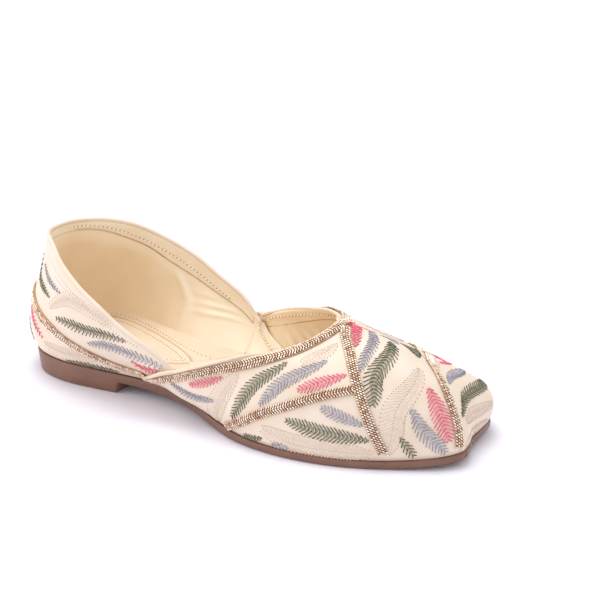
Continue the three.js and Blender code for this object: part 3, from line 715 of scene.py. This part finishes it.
def thin_wings(station):
    """The vamp's wall thins where its wings lap over the quarter."""
    return WING_WALL + (WALL - WING_WALL) * np.clip((from_wing(station) - 2.2) / 1.2, 0, 1)


folded_wall("quarter", quarter, 40, lambda station: WALL + 0 * station, heel_lining, heel_painted_shade, lining, ["upper"])
folded_wall("vamp", vamp, 26, thin_wings, lambda station, up: folds(GATHERS, station, up), gather_painted_shade,
            vamp_lining, ["upper"])

# %% [markdown]
# ## Rims
# The vamp's top edge is bound with a cream roll that is stitched through, so it is dimpled at every
# stitch. The quarter's top edge is turned in and has only a slim fold.


# %% A rolled rim
RIM_RADIUS, THROAT_RADIUS = 1.25, 0.9
RINGS_PER_STATION, RINGS_PER_STITCH = 16, 5


def rim(name, skin, first, last, inset, size, squeeze, dimple, taper, material, nodes):
    """A roll on the top edge of a wall; squeeze makes it flatter than it is high."""
    steps = round((last - first) * RINGS_PER_STATION)

    def place(across, along):
        station = first + along * (last - first)
        _, rise, away = skin.slopes(station, 1 + 0 * station)
        rise = unit(rise)
        angle = across * 2 * math.pi
        between = np.abs(np.sin(along * steps / RINGS_PER_STITCH * math.pi))
        from_end = np.minimum(along, 1 - along) * (last - first)
        radius = size(station) * (1 - dimple * between ** 6) * (1 - taper * np.clip(1 - from_end / 0.6, 0, 1))
        middle = skin.at(station, 1 + 0 * station) + rise * (SEAM + radius)[:, None]
        middle = middle - away * inset(station)[:, None] + rise * (radius * np.cos(angle))[:, None]
        return middle + away * (radius * squeeze * np.sin(angle))[:, None]

    bm = laid_grid(10, steps, place)
    close(bm)
    return finish_piece(name, bm, [material], nodes)


def vamp_inset(station):
    """The vamp's roll lies outside the quarter on the wings and on the wall's middle at the throat."""
    ease = np.clip((from_wing(station) - WINGS) / WINGS, 0, 1)
    ease = ease * ease * (3 - 2 * ease)
    outside = LAP - RIM_RADIUS - 2 * SEAM
    return outside + (WALL / 2 - outside) * ease


def vamp_roll(station):
    """The roll is pulled slim round the throat and stays fuller on the wings."""
    return np.interp(from_wing(station), [1.5, 3.5], [1.2, THROAT_RADIUS])


rim("quarter_rim", quarter, QUARTER_FIRST + 0.1, QUARTER_LAST - 0.1, lambda s: WALL / 2 + 0 * s,
    lambda s: RIM_RADIUS + 0 * s, 0.86, 0.0, 0.7, shell, ["quarter_binding"])
rim("vamp_rim", vamp, VAMP_FIRST + 0.2, VAMP_LAST - 0.2, vamp_inset, vamp_roll, 1.0, 0.1, 0.3, rim_cloth,
    ["vamp_binding"])

# %% [markdown]
# ## Paths over the upper
# Braids, leaves and stitches all follow paths on a skin. A path is a short list of places, and it is
# walked in even steps, so every stitch has its real length whatever the surface does.


# %% Walking along a path
def trail(skin, path, pitch):
    """Evenly spaced places on a path over a skin, with the directions ahead and across."""
    station, up = smooth(path, np.linspace(0, len(path) - 1, 400)).T
    run = np.linalg.norm(np.diff(skin.at(station, up), axis=0), axis=1)
    length = np.concatenate([[0], np.cumsum(run)])
    count = max(2, round(length[-1] / pitch))
    marks = (np.arange(count) + 0.5) * length[-1] / count
    station, up = np.interp(marks, length, station), np.interp(marks, length, up)
    ahead = unit(np.gradient(skin.at(station, up), axis=0))
    across = unit(np.cross(ahead, skin.slopes(station, up)[2]))
    return station, up, ahead, across


chance = np.random.default_rng(7)


def threads(skin, station, up, start, end, lift, width, height, tone=(0.0, 1.0)):
    """Threads that run from one move to another, seen from each place, with tones between two shares."""
    tail = skin.raised(*skin.walk(station, up, start), lift)
    head = skin.raised(*skin.walk(station, up, end), lift)
    normal = skin.slopes(station, up)[2]
    wide = unit(np.cross(normal, head - tail)) * width / 2
    high = unit(np.cross(head - tail, wide)) * height / 2
    return (tail + head) / 2, (head - tail) / 2, wide, high, chance.uniform(*tone, len(tail))


def gathered(sets):
    """Several sets of copies as one."""
    return [np.concatenate(parts) for parts in zip(*sets)]


def below_top(skin, station, distance):
    """The share of the height that lies a distance below the top edge."""
    ups = np.linspace(0, 1, 121)
    points = skin.at(np.full(len(ups), float(station)), ups)
    run = np.concatenate([[0], np.cumsum(np.linalg.norm(np.diff(points, axis=0), axis=1))])
    return float(np.interp(run[-1] - distance, run, ups))


print("10 mm below the throat is at", round(below_top(vamp, NIB, 10), 3), "of the height")

# %% [markdown]
# ## Braids
# Each braid is a flat ribbon of dark yarn with two rows of slanting metallised bars that meet in the
# middle like a plait, and a thin cord along each edge. The bars are tiny closed shapes laid one by one.

# %% The paths of the braids
SIDE_BRAID = table("station up", """
    17.3 .955, 15.9 .88, 14.95 .73, 14.45 .56, 14.25 .38, 14.3 .2, 14.55 .045""")
WAIST_BRAID = table("station up", """
    14.2 .49, 13.2 .46, 12.4 .42, 11.5 .345, 10.7 .25, 10 .12, 9.7 .045""")
RIDGE_BRAID = table("station up", """
    17.7 .04, 17.85 .14, 18.05 .26, 18.4 .375, 19.2 .49, 20.2 .58, 21.5 .65, 22.9 .655, 24.2 .59,
    25.5 .46, 26.8 .33, 28 .2, 28.9 .1""")
HEEL_BRAID = table("steps up", """
    0 .56, 1 .535, 2 .475, 3 .395, 4 .3, 5.2 .232, 5.95 .265, 6.4 .33""")
HEEL_BRAID_WIDTH, BRAID_THICKNESS, BRAID_DROP = 4.2, 1.1, 0.25
BAR_PITCH, GROUND_PITCH, BAR_SIZE, CORD_SIZE = 1.35, 1.5, (0.82, 0.8), (0.45, 0.45)
steps, ups = HEEL_BRAID.values()
heel_path = np.stack([np.concatenate([STATIONS - steps[:0:-1], STATIONS + steps]),
                      np.concatenate([ups[:0:-1], ups])], -1)
rim_places = np.linspace(VAMP_FIRST + 0.5, VAMP_LAST - 0.5, 2 * (VAMP_LAST - VAMP_FIRST) + 1)


def topline_width(station):
    """The topline's braid is stretched slim on the wings and lies full at the throat."""
    return np.interp(np.minimum(station, STATIONS - station), [6, 8, 9, 10.5, 13, 16],
                     [3.4, 3.6, 4.0, 5.0, 5.6, 5.2])


def rows_of(columns):
    """A table's rows."""
    return np.stack(list(columns.values()), -1)


topline_path = np.array([(s, below_top(vamp, s, BRAID_DROP + topline_width(s) / 2)) for s in rim_places])
# skin, path, width, and whether the bars run right across like the strands of a rope
BRAIDS = {
    "topline_braid": (vamp, topline_path, topline_width, False),
    "side_braid": (vamp, rows_of(SIDE_BRAID), lambda s: 5.0 + 0 * s, True),
    "waist_braid": (vamp, rows_of(WAIST_BRAID), lambda s: 4.6 + 0 * s, False),
    "ridge_braid": (vamp, rows_of(RIDGE_BRAID), lambda s: 4.5 + 0 * s, True),
    "quarter_braid": (quarter, heel_path, lambda s: HEEL_BRAID_WIDTH + 0 * s, False),
}
print("braids:", *BRAIDS)


# %% A braid's ribbon, bars and cords
def ribbon(name, skin, path, width, nodes):
    """The braid's flat ground, a little crowned."""
    station, up, _, across = trail(skin, path, GROUND_PITCH)
    half = (width(station) / 2 - 0.25)[:, None]
    sides = np.array([-1, 0, 1, 1, 0, -1, -1])
    lifts = SEAM + np.array([0.0, 0.0, 0.0, 0.3, 0.5, 0.3, 0.0]) * BRAID_THICKNESS

    def place(ring, along):
        k = np.round(ring * 6).astype(int)
        row = np.round(along * (len(station) - 1)).astype(int)
        places = skin.walk(station[row], up[row], across[row] * half[row] * sides[k][:, None])
        return skin.raised(*places, lifts[k])

    bm = laid_grid(6, len(station) - 1, place)
    close(bm)
    return finish_piece(name, bm, [braid_ground], nodes)


def plait_bars(skin, path, width):
    """Two short bars in line on each side of the middle, slanting like the strands of a plait."""
    station, up, ahead, across = trail(skin, path, BAR_PITCH)
    span = (width(station) / 2 - 0.15)[:, None]
    sets = []
    for side in (-1, 1):
        for near, far in ((0.03, 0.5), (0.55, 1.0)):
            start = across * side * near * span + ahead * (0.7 - near * BAR_PITCH)
            end = across * side * far * span + ahead * (0.7 - far * BAR_PITCH)
            sets.append(threads(skin, station, up, start, end, SEAM + 0.62 * BRAID_THICKNESS, *BAR_SIZE))
    return gathered(sets)


def rope_bars(skin, path, width):
    """Four bars in line right across the braid, slanting all one way like the strands of a rope."""
    station, up, ahead, across = trail(skin, path, BAR_PITCH)
    span = (width(station) / 2 - 0.1)[:, None]
    sets = []
    for k in range(4):
        start, end = k / 2 - 0.97, k / 2 - 0.56
        sets.append(threads(skin, station, up, across * start * span - ahead * start * 2.1,
                            across * end * span - ahead * end * 2.1,
                            SEAM + (0.5 + 0.16 * (k in (1, 2))) * BRAID_THICKNESS, *BAR_SIZE))
    return gathered(sets)


def braid_cords(skin, path, width):
    """The thin cord along each edge, as short lengths end to end."""
    station, up, ahead, across = trail(skin, path, GROUND_PITCH)
    sets = []
    for side in (-1, 1):
        middle = across * side * (width(station) / 2 - 0.2)[:, None]
        sets.append(threads(skin, station, up, middle - ahead * 0.85, middle + ahead * 0.85,
                            SEAM + 0.2 * BRAID_THICKNESS, *CORD_SIZE))
    return gathered(sets)


# %% The piping above the quarter's braid
# a satin cord, which gives a smooth peach line beside the glitter
piping_yarn = thread("peach satin piping", [(0.0, "#b98458"), (0.6, "#d9a77f"), (1.0, "#ecc6a4")])
station, up, ahead, across = trail(quarter, heel_path[4:-4], GROUND_PITCH)
upwards = across * np.sign((across * [0, 0, 1]).sum(-1))[:, None] * (HEEL_BRAID_WIDTH / 2 + 0.25)
piping = threads(quarter, station, up, upwards - ahead * 0.95, upwards + ahead * 0.95, SEAM + 0.2, 0.62, 0.6)
strew("quarter_piping", STITCH, piping, piping_yarn)

# %% The braids
for name, (skin, path, width, is_rope) in BRAIDS.items():
    ribbon(name + "_ground", skin, path, width, [name])
    bars = rope_bars if is_rope else plait_bars
    strew(name + "_bars", STITCH, bars(skin, path, width), rose_film)
    strew(name + "_cords", STITCH, braid_cords(skin, path, width), cord_yarn)

# %% [markdown]
# ## Stitched leaves
# A machine lays each leaf as a fishbone: a spine, and slanting stitches on both sides whose outer ends
# lie nearer the leaf's root. Four colours of thread take turns. The cream ones lie low on the shell and
# show their needle holes.

# %% The leaves on the vamp and on the quarter
LEAF = "root_station root_up middle_station middle_up tip_station tip_up half_width"
VAMP_LEAVES = {
    "pink": table(LEAF, """
        8.65 .719 9.28 .725 9.88 .756 2.4, 12.28 .513 13.05 .556 14.2 .606 3.3,
        19.6 .955 17.3 .89 15.75 .8 3.6, 17.2 .094 17.23 .281 17.48 .444 4.7,
        23.15 .944 21.93 .919 20.52 .869 3.5, 25.2 .36 23.4 .53 21.1 .575 2.8"""),
    "lilac": table(LEAF, """
        7.88 .781 8.62 .475 9.47 .419 2.6, 10.98 .375 11.98 .606 13.82 .75 3.8,
        12.85 .363 13.4 .294 14.03 .231 3, 11.23 .02 11.48 .02 11.75 .02 2,
        14.8 .613 16.02 .731 19.15 .869 3, 16.98 .02 16.15 .188 16 .338 4.1,
        27.65 .588 27.2 .45 26.43 .475 3.3, 23 .844 21.5 .831 19.77 .744 3.2,
        22 .48 20.65 .463 19.45 .415 2.9"""),
    "green": table(LEAF, """
        7.75 .3 8.32 .125 8.85 .03 2.2, 10 .213 10.85 .569 12.28 .812 3.8,
        11.73 .256 12.75 .175 14.12 .131 4, 10.32 .02 10.62 .02 10.95 .056 2.3,
        14.55 .363 15.6 .594 18.88 .763 5, 15.62 .02 15.35 .094 15.18 .156 2.7,
        26.9 .894 26 .663 24.62 .613 4.7, 22.6 .763 21.18 .719 19.48 .619 4,
        22.6 .33 20.5 .31 18.62 .215 3.6"""),
    "cream": table(LEAF, """
        9.1 .03 9.75 .494 10.43 .794 4.9, 12.8 .769 13.93 .819 15.08 .869 3.5,
        10.98 .144 12 .06 14.25 .04 5.5, 14.65 .056 15.53 .356 18.08 .569 5.7,
        18.95 .169 20.68 .163 21.85 .15 2.8, 25.6 .819 24.65 .738 23.45 .706 4.5,
        23.68 .731 21.83 .688 19.52 .506 4.8, 26.3 .319 25.15 .275 23.75 .081 4.3,
        21.4 .03 19.55 .03 18.3 .03 3.1"""),
}
QUARTER_LEAVES = {
    "pink": table(LEAF, """
        45.12 .588 45.55 .55 46.35 .781 2.9, 41.5 .238 41.1 .331 40.4 .444 2.2"""),
    "lilac": table(LEAF, """
        42.17 .8 41.3 .788 40.62 .831 1.8, 43.3 .438 44.88 .693 46.55 .925 3.6,
        40.75 .113 40.48 .213 40.25 .319 3.2"""),
    "green": table(LEAF, """
        41.62 .669 40.5 .713 40.02 .881 2.1, 42.02 .537 43.48 .65 45.12 .925 3.5,
        42.23 .02 43.12 .02 44.17 .05 2.7"""),
    "cream": table(LEAF, """
        41.65 .6 42.7 .838 44.48 .963 3.5, 41.5 .163 42.42 .138 43.67 .238 4.1"""),
}
for place, leaves in (("vamp", VAMP_LEAVES), ("outer quarter", QUARTER_LEAVES)):
    print("leaves on the", place, sum(len(rows["tip_up"]) for rows in leaves.values()))


# %% One leaf
LEAN = math.radians(55)


def leaf_shape(skin, row, pitch):
    """Even places along a leaf's spine, and how far its stitches reach to the sides there."""
    places = trail(skin, np.reshape(row[:6], (3, 2)), pitch)
    share = (np.arange(len(places[0])) + 0.5) / len(places[0])
    reach = row[6] * np.interp(share, [0, 0.12, 0.3, 0.5, 0.7, 0.88, 1], [0.22, 0.6, 0.93, 1, 0.92, 0.66, 0.3])
    return places, reach[:, None]


def leaf_threads(skin, row, pitch, lift, width, height):
    """Long stitches bent back on their way out, darker towards their outer ends as painted shade, and a short,
    pale one between each two of them as a painted highlight near the spine.
    """
    (station, up, ahead, across), reach = leaf_shape(skin, row, pitch)
    reach = reach * (1 + 0.06 * np.sin(np.arange(len(station)) * 2.4))[:, None]
    sets = []
    for side in (-1, 1):
        elbow = across * side * reach * 0.55 - ahead * reach * 0.24
        end = across * side * reach - ahead * reach / math.tan(LEAN)
        # outer halves take darker tones, painted shade towards the leaf's edge; the short stitches between take
        # pale tones, a painted highlight
        sets.append(threads(skin, station, up, ahead * 0.25, elbow, lift * 1.1, width, height, (0.15, 0.6)))
        sets.append(threads(skin, station, up, elbow * 0.92, end, lift * 0.9, width * 0.9, height, (0.0, 0.5)))
        between = ahead * pitch / 2
        sets.append(threads(skin, station, up, between, between + elbow * 0.85, lift, width * 0.7, height * 0.9,
                            (0.6, 1.0)))
    return gathered(sets)


def leaf_holes(skin, row, pitch):
    """The needle holes at the outer ends of a leaf's stitches and along its spine."""
    (station, up, ahead, across), reach = leaf_shape(skin, row, pitch)
    sets = []
    for side in (-1, 0, 1):
        end = across * side * (reach + 0.3) - ahead * (reach + 0.3) * abs(side) / math.tan(LEAN)
        sets.append(threads(skin, station, up, end - ahead * 0.24, end + ahead * 0.24, 0.05, 0.48, 0.16))
    return gathered(sets)


# %% All the leaves
def both_sides(rows):
    """Leaves on the quarter, with their mirror images on the inner side."""
    opposite = rows.copy()
    opposite[:, [0, 2, 4]] = 2 * STATIONS - rows[:, [0, 2, 4]]
    return np.concatenate([rows, opposite])


leaf_thread = {"pink": pink_thread, "lilac": lilac_thread, "green": green_thread, "cream": cream_thread}
for colour, material in leaf_thread.items():
    leaves = [(vamp, row) for row in rows_of(VAMP_LEAVES[colour])]
    leaves += [(quarter, row) for row in both_sides(rows_of(QUARTER_LEAVES[colour]))]
    thin = colour == "cream"
    # how high a stitch lies, its width and its height; and the pitch of the stitches
    look = (0.12, 0.48, 0.3) if thin else (0.24, 0.56, 0.46)
    pitches = {vamp: 1.55, quarter: 1.9} if thin else {vamp: 1.85, quarter: 2.55}
    stitches = gathered([leaf_threads(skin, row, pitches[skin], *look) for skin, row in leaves])
    strew(colour + "_leaves", STITCH, stitches, material)
    if thin:
        holes = gathered([leaf_holes(skin, row, pitches[skin]) for skin, row in leaves])
        strew("needle_holes", BEAD, holes, pinhole)


# %% Rows of needle holes under the quarter's top edge
def mirrored(path, total):
    """A path on the other side of the shoe; total is the sum of a station and its mirror image."""
    return [(total - s, u) for s, u in path]


NEEDLE_ROWS = [[(41.3, 0.93), (42.2, 0.925), (43.4, 0.935), (44.6, 0.965)],
               [(41.7, 0.87), (42.4, 0.88), (43.4, 0.895), (44.4, 0.925), (45.6, 0.965)],
               [(42.1, 0.8), (42.7, 0.83), (43.5, 0.855), (44.3, 0.89)]]
marks = []
for row in NEEDLE_ROWS:
    for way in (row, mirrored(row, 2 * STATIONS)):
        station, up, ahead, _ = trail(quarter, np.array(way), 1.8)
        marks.append(threads(quarter, station, up, -ahead * 0.26, ahead * 0.26, 0.05, 0.5, 0.16))
strew("quarter_needle_rows", BEAD, gathered(marks), pinhole)

# %% [markdown]
# ## The inside
# The lining of the quarter reaches a little way over the vamp's lining, and a facing strip goes round
# the collar. Both are thin cloth, so each is a grid on the inner face that is given its thickness.


# %% Thin cloth on the inner face
def inner_sheet(name, skin, front, back, depth, thickness, columns, rows, cloth):
    """A thin sheet on a wall's inner face between two lines of (station, up) places."""
    front, back = np.array(front, float), np.array(back, float)

    def place(across, along):
        a = smooth(front, along * (len(front) - 1))
        b = smooth(back, along * (len(back) - 1))
        station, up = (a + (b - a) * across[:, None]).T
        return skin.raised(station, up, -depth(station, across))

    bm = laid_grid(columns, rows, place)
    bmesh.ops.solidify(bm, geom=bm.faces[:], thickness=thickness / 1000)
    close(bm, 1e-6)
    return finish_piece(name, bm, [cloth], [])


def tongue_depth(station, across):
    """From inside the quarter's wall, over its end, down to the vamp's lining."""
    return np.interp(across, [0.0, 0.14, 0.4, 1.0], [3.0, 3.55, 3.3, 2.5])


TONGUE_FRONT = [(29.45, 0.03), (29.9, 0.367), (30.35, 0.633), (31.05, 0.99)]
TONGUE_BACK = [(31.35, u) for _, u in TONGUE_FRONT]
FACING_THICKNESS, FACING_TOP = 0.5, 0.998
inner_sheet("lining_lap_inner", vamp, TONGUE_BACK, TONGUE_FRONT, tongue_depth, 0.45, 10, 24, lining)
inner_sheet("lining_lap_outer", vamp, mirrored(TONGUE_BACK, STATIONS), mirrored(TONGUE_FRONT, STATIONS),
            tongue_depth, 0.45, 10, 24, lining)


def facing(name, skin, low, depth, columns, rows, cloth):
    """A strip from a line up to the top edge, over the same stations."""
    high = [(s, FACING_TOP) for s in np.linspace(low[0][0], low[-1][0], len(low))]
    inner_sheet(name, skin, low, high, depth, FACING_THICKNESS, columns, rows, cloth)


collar_low = COLLAR_SEAM[::-1] + [(39.0, 0.96)] + mirrored(COLLAR_SEAM, 2 * STATIONS)
facing("collar_facing", quarter, collar_low, lambda s, a: WALL + 0.15 - 0.5 * a ** 2, 8, 160, lining)
FACING_SIDE = [(8.02, 0.74), (8.57, 0.75), (9.35, 0.742), (10.6, 0.792), (12.07, 0.833), (14.5, 0.86), (17, 0.868)]
vamp_low = FACING_SIDE + [(19.5, 0.87)] + mirrored(FACING_SIDE, STATIONS)[::-1]
facing("vamp_facing", vamp, vamp_low, lambda s, a: thin_wings(s) + 0.12 - 0.45 * a ** 2, 6, 150, vamp_lining)


# %% Rows of stitches
def stitch_row(skin, path, pitch, lift, width=0.7, share=0.62, shift=0.0, height=0.7):
    """Stitches a little askew along a path; share is how much of the pitch one covers."""
    station, up, ahead, across = trail(skin, np.array(path, float), pitch)
    half = (ahead + across * 0.25) * pitch * share / 2
    return threads(skin, station, up, ahead * shift - half, ahead * shift + half, lift, width, height)


COLLAR_ROW = [(38.25, 0.985), (37.6, 0.985), (36.9, 0.965), (36.05, 0.935), (35.35, 0.91), (34.45, 0.875),
              (33.42, 0.84), (32.55, 0.81)]
LAP_ROW = [(31.0, 0.75), (30.98, 0.642), (30.43, 0.375), (30.0, 0.15)]
FACING_TOP_ROW = [(30.6, 0.93), (29.65, 0.925), (28.4, 0.93), (26.9, 0.94), (25, 0.945), (23, 0.945), (21, 0.945)]
ROWS = [(quarter, COLLAR_ROW, 2 * STATIONS, -(WALL + 0.72)), (vamp, LAP_ROW, STATIONS, -3.85),
        (vamp, FACING_TOP_ROW, STATIONS, -(WALL + 0.72))]
seam_line = [(s, u + 0.004) for s, u in COLLAR_SEAM]
creases = [stitch_row(quarter, row, 0.8, -(WALL + 0.2), 0.26, 1.3, 0.0, 0.4)
           for row in (seam_line, mirrored(seam_line, 2 * STATIONS))]
strew("collar_seam", BEAD, gathered(creases), lining_hole)
dashes, holes = [], []
for skin, path, total, lift in ROWS:
    for row in (path, mirrored(path, total)):
        dashes.append(stitch_row(skin, row, 2.3, lift))
        holes.append(stitch_row(skin, row, 2.3, lift + 0.12, 0.55, 0.42, 1.15, 0.25))
strew("lining_stitches", STITCH, gathered(dashes), pale_thread)
strew("lining_holes", BEAD, gathered(holes), lining_hole)

# %% [markdown]
# ## The sock
# The sock is the cushioned sheet under the foot. It lies flat in the middle. Round the heel its edge turns
# up the walls in a soft sweep, with a row of punched holes on the sweep and a stitched seam at its foot.

# %% The flat of the sock
SOCK_ACROSS, SOCK_ROWS, SOCK_START, SOCK_LENGTH = 12, 90, 3.2, 242.8
# where the sock is wider than the insole, how much, and over what length
SOCK_BUMPS = [(114, 2.9, 17), (80, 0.6, 17)]
sock_xs = SOCK_START + SOCK_LENGTH * (1 - np.cos(np.linspace(0, math.pi, SOCK_ROWS))) / 2


def sock_side(first, last):
    """The sock's edge on one side, under the foot of the wall."""
    stations = np.linspace(first, last, 3000)
    flat = edge(stations)
    inset = SOLE_FLARE * side_heights(flat[:, 0])[0] / HEEL_LIFT - WELT - WALL + 0.6
    for x, more, reach in SOCK_BUMPS:
        inset = inset + more * np.exp(-((flat[:, 0] - x) / reach) ** 2)
    points = flat + outwards(stations)[:, :2] * inset[:, None]
    order = np.argsort(points[:, 0])
    return np.interp(sock_xs, points[order, 0], points[order, 1])


sock_outer, sock_inner = sock_side(0, NIB), sock_side(NIB, STATIONS)


def sock_height(x):
    """The height of the sock's upper face."""
    return side_heights(x)[0] + SEAM + INSOLE_THICKNESS


def sock_place(across, along):
    """Over the sock's face from the inner to the outer side, and back underneath."""
    row = np.round(along * (len(sock_xs) - 1)).astype(int)
    k = across * 2 * SOCK_ACROSS
    share = np.where(k <= SOCK_ACROSS, k, 2 * SOCK_ACROSS - k) / SOCK_ACROSS
    x, y_outer, y_inner = sock_xs[row], sock_outer[row], sock_inner[row]
    height = sock_height(x) - np.where(k <= SOCK_ACROSS, 0, INSOLE_THICKNESS)
    return np.stack([x, y_inner + (y_outer - y_inner) * share, height], -1)


sock_mesh = laid_grid(2 * SOCK_ACROSS, len(sock_xs) - 1, sock_place)
close(sock_mesh)
finish_piece("sock", sock_mesh, [sock_cloth], ["insole"])

# %% The sweep round the heel
# steps from the heel's middle; x and y of the seam; how high the sweep starts on the wall
SWEEP = table("steps x y rise", """
    0 8.5 0 4.2, 1 11 14.5 4.2, 2 18 25.2 4.2, 3 33.5 25.2 2.8, 4 50.5 20.2 1.2, 5 65.5 14.7 .7,
    6 77.5 9.4 .5, 7 85.5 4.6 .4, 7.8 89.5 .5 .3""")


SWEEP_END = SWEEP["steps"][-1]


def wall_place(station, height):
    """The place on the quarter's inner face at a height."""
    ups = np.linspace(0, 0.5, 40)
    found = []
    for s, z in zip(station, height):
        inner = quarter.raised(np.full(len(ups), s), ups, -(WALL + 0.02))
        found.append([np.interp(z, inner[:, 2], inner[:, k]) for k in range(3)])
    return np.array(found)


def sweep_place(station, share):
    """From the wall (share 0) down a hollow curve to the seam (share 1)."""
    steps = np.abs(station - STATIONS)
    place = np.interp(steps, SWEEP["steps"], np.arange(len(SWEEP["steps"])))
    x, y, rise = [smooth(SWEEP[k], place) for k in ("x", "y", "rise")]
    seam = np.stack([x, y * np.sign(STATIONS - station), 0 * x], -1)
    top = wall_place(station, sock_height(quarter.at(station, 0 * station)[:, 0]) + rise)
    turn = 0.75 * top + 0.25 * seam
    t = share[:, None]
    points = top * (1 - t) ** 2 + turn * 2 * t * (1 - t) + seam * t ** 2
    points[:, 2] = sock_height(points[:, 0]) + 0.05 + rise * (1 - share) ** 2
    return points


sweep_mesh = laid_grid(12, 150, lambda across, along: sweep_place(
    STATIONS - SWEEP_END + 2 * SWEEP_END * along, across))
bmesh.ops.solidify(sweep_mesh, geom=sweep_mesh.faces[:], thickness=0.0005)
close(sweep_mesh, 1e-6)
finish_piece("sock_sweep", sweep_mesh, [sock_cloth], [])


# %% Seam, holes and stitches of the sock
HOLE_SHARES = [(0, 0.5), (2, 0.55), (3, 0.6), (4, 0.74), (5, 0.84), (6, 0.84), (7, 0.78), (7.8, 0.7)]


def line_on_sock(shares, inwards, pitch):
    """Even places along the sweep or, further in, on the flat of the sock."""
    stations = np.linspace(STATIONS - 7.7, STATIONS + 7.7, 600)
    share = np.interp(np.abs(stations - STATIONS), *np.transpose(shares))
    line = sweep_place(stations, share)
    if inwards:
        run = unit(np.gradient(line, axis=0))
        line = line + np.stack([-run[:, 1], run[:, 0], 0 * run[:, 0]], -1) * inwards
        line[:, 2] = sock_height(line[:, 0]) + 0.08
    length = np.concatenate([[0], np.cumsum(np.linalg.norm(np.diff(line, axis=0), axis=1))])
    marks = np.arange(pitch / 2, length[-1], pitch)
    points = np.stack([np.interp(marks, length, line[:, k]) for k in range(3)], -1)
    return points, unit(np.gradient(points, axis=0))


def flat_copies(points, ahead, long, wide, high):
    """Copies that lie level along a line."""
    side = unit(np.cross(np.broadcast_to([0.0, 0.0, 1.0], ahead.shape), ahead))
    tones = chance.uniform(0, 1, len(points))
    return points, ahead * long / 2, side * wide / 2, np.cross(ahead, side) * high / 2, tones


SEAM_LINE = [(0, 1), (8, 1)]
# shape, line, distance inwards, pitch, size, material
SOCK_MARKS = {
    "sock_holes": (BEAD, HOLE_SHARES, 0, 2.7, (0.8, 0.8, 0.5), lining_hole),
    "sock_stitches": (STITCH, SEAM_LINE, 3.7, 2.3, (1.5, 0.75, 0.7), pale_thread),
    "sock_stitch_holes": (BEAD, SEAM_LINE, 3.9, 1.15, (0.8, 0.5, 0.3), lining_hole),
    "sock_seam": (BEAD, SEAM_LINE, 0, 0.8, (1.0, 0.32, 0.3), lining_hole),
}
for name, (shape, line, inwards, pitch, size, material) in SOCK_MARKS.items():
    strew(name, shape, flat_copies(*line_on_sock(line, inwards, pitch), *size), material)

# %% [markdown]
# ## Camera, floor and light
# The camera stands in front of the toe at the outer side, a little above, and looks across the shoe.
# A white floor and large soft lights give the even light of a catalogue picture.

# %% Camera
camera_data = bpy.data.cameras.new("camera")
camera_data.lens, camera_data.sensor_width = 109.6, 36
LOOKS_DOWN, TURNED = 21.88, 31.2
camera = shown("camera", camera_data)
camera.location = (0.5507, -0.7036, 0.3911)
camera.rotation_euler = (math.radians(90 - LOOKS_DOWN), 0, math.radians(TURNED))
bpy.context.scene.camera = camera
print("the camera stands", round(camera.location.length, 2), "m from the shoe")

# %% Floor
# matt white paper, which gives a clean ground and a soft contact shadow
paper = mottled("white paper floor", 0.9, 60.0, [(0.3, "#f3f0fb"), (0.7, "#f5f3fc")])[0]
floor_mesh = bmesh.new()
bmesh.ops.create_grid(floor_mesh, x_segments=1, y_segments=1, size=6)
floor = shown("floor", meshed("floor", floor_mesh, [paper]))
print("floor", floor.dimensions[:2], "m")

# %% Lights
world = bpy.data.worlds.new("studio")
world.use_nodes = True
sky = world.node_tree.nodes["Background"].inputs
sky["Color"].default_value, sky["Strength"].default_value = (1, 1, 1, 1), 0.94
bpy.context.scene.world = world


def soft_light(name, place, target, size, power):
    """A square panel of light, in metres and watts, turned to its target."""
    data = bpy.data.lights.new(name, "AREA")
    data.shape, data.size, data.energy = "SQUARE", size, power
    light = shown(name, data)
    light.location = place
    light.rotation_euler = (Vector(target) - Vector(place)).to_track_quat("-Z", "Y").to_euler()
    print(name, power, "W")


soft_light("top light", (-0.12, 0.14, 1.3), (0.1, 0, 0.02), 0.8, 8.0)
soft_light("left fill", (-1.1, -0.8, 0.45), (0.05, 0, 0.03), 0.9, 5.5)
bpy.context.scene.view_settings.view_transform = "Standard"
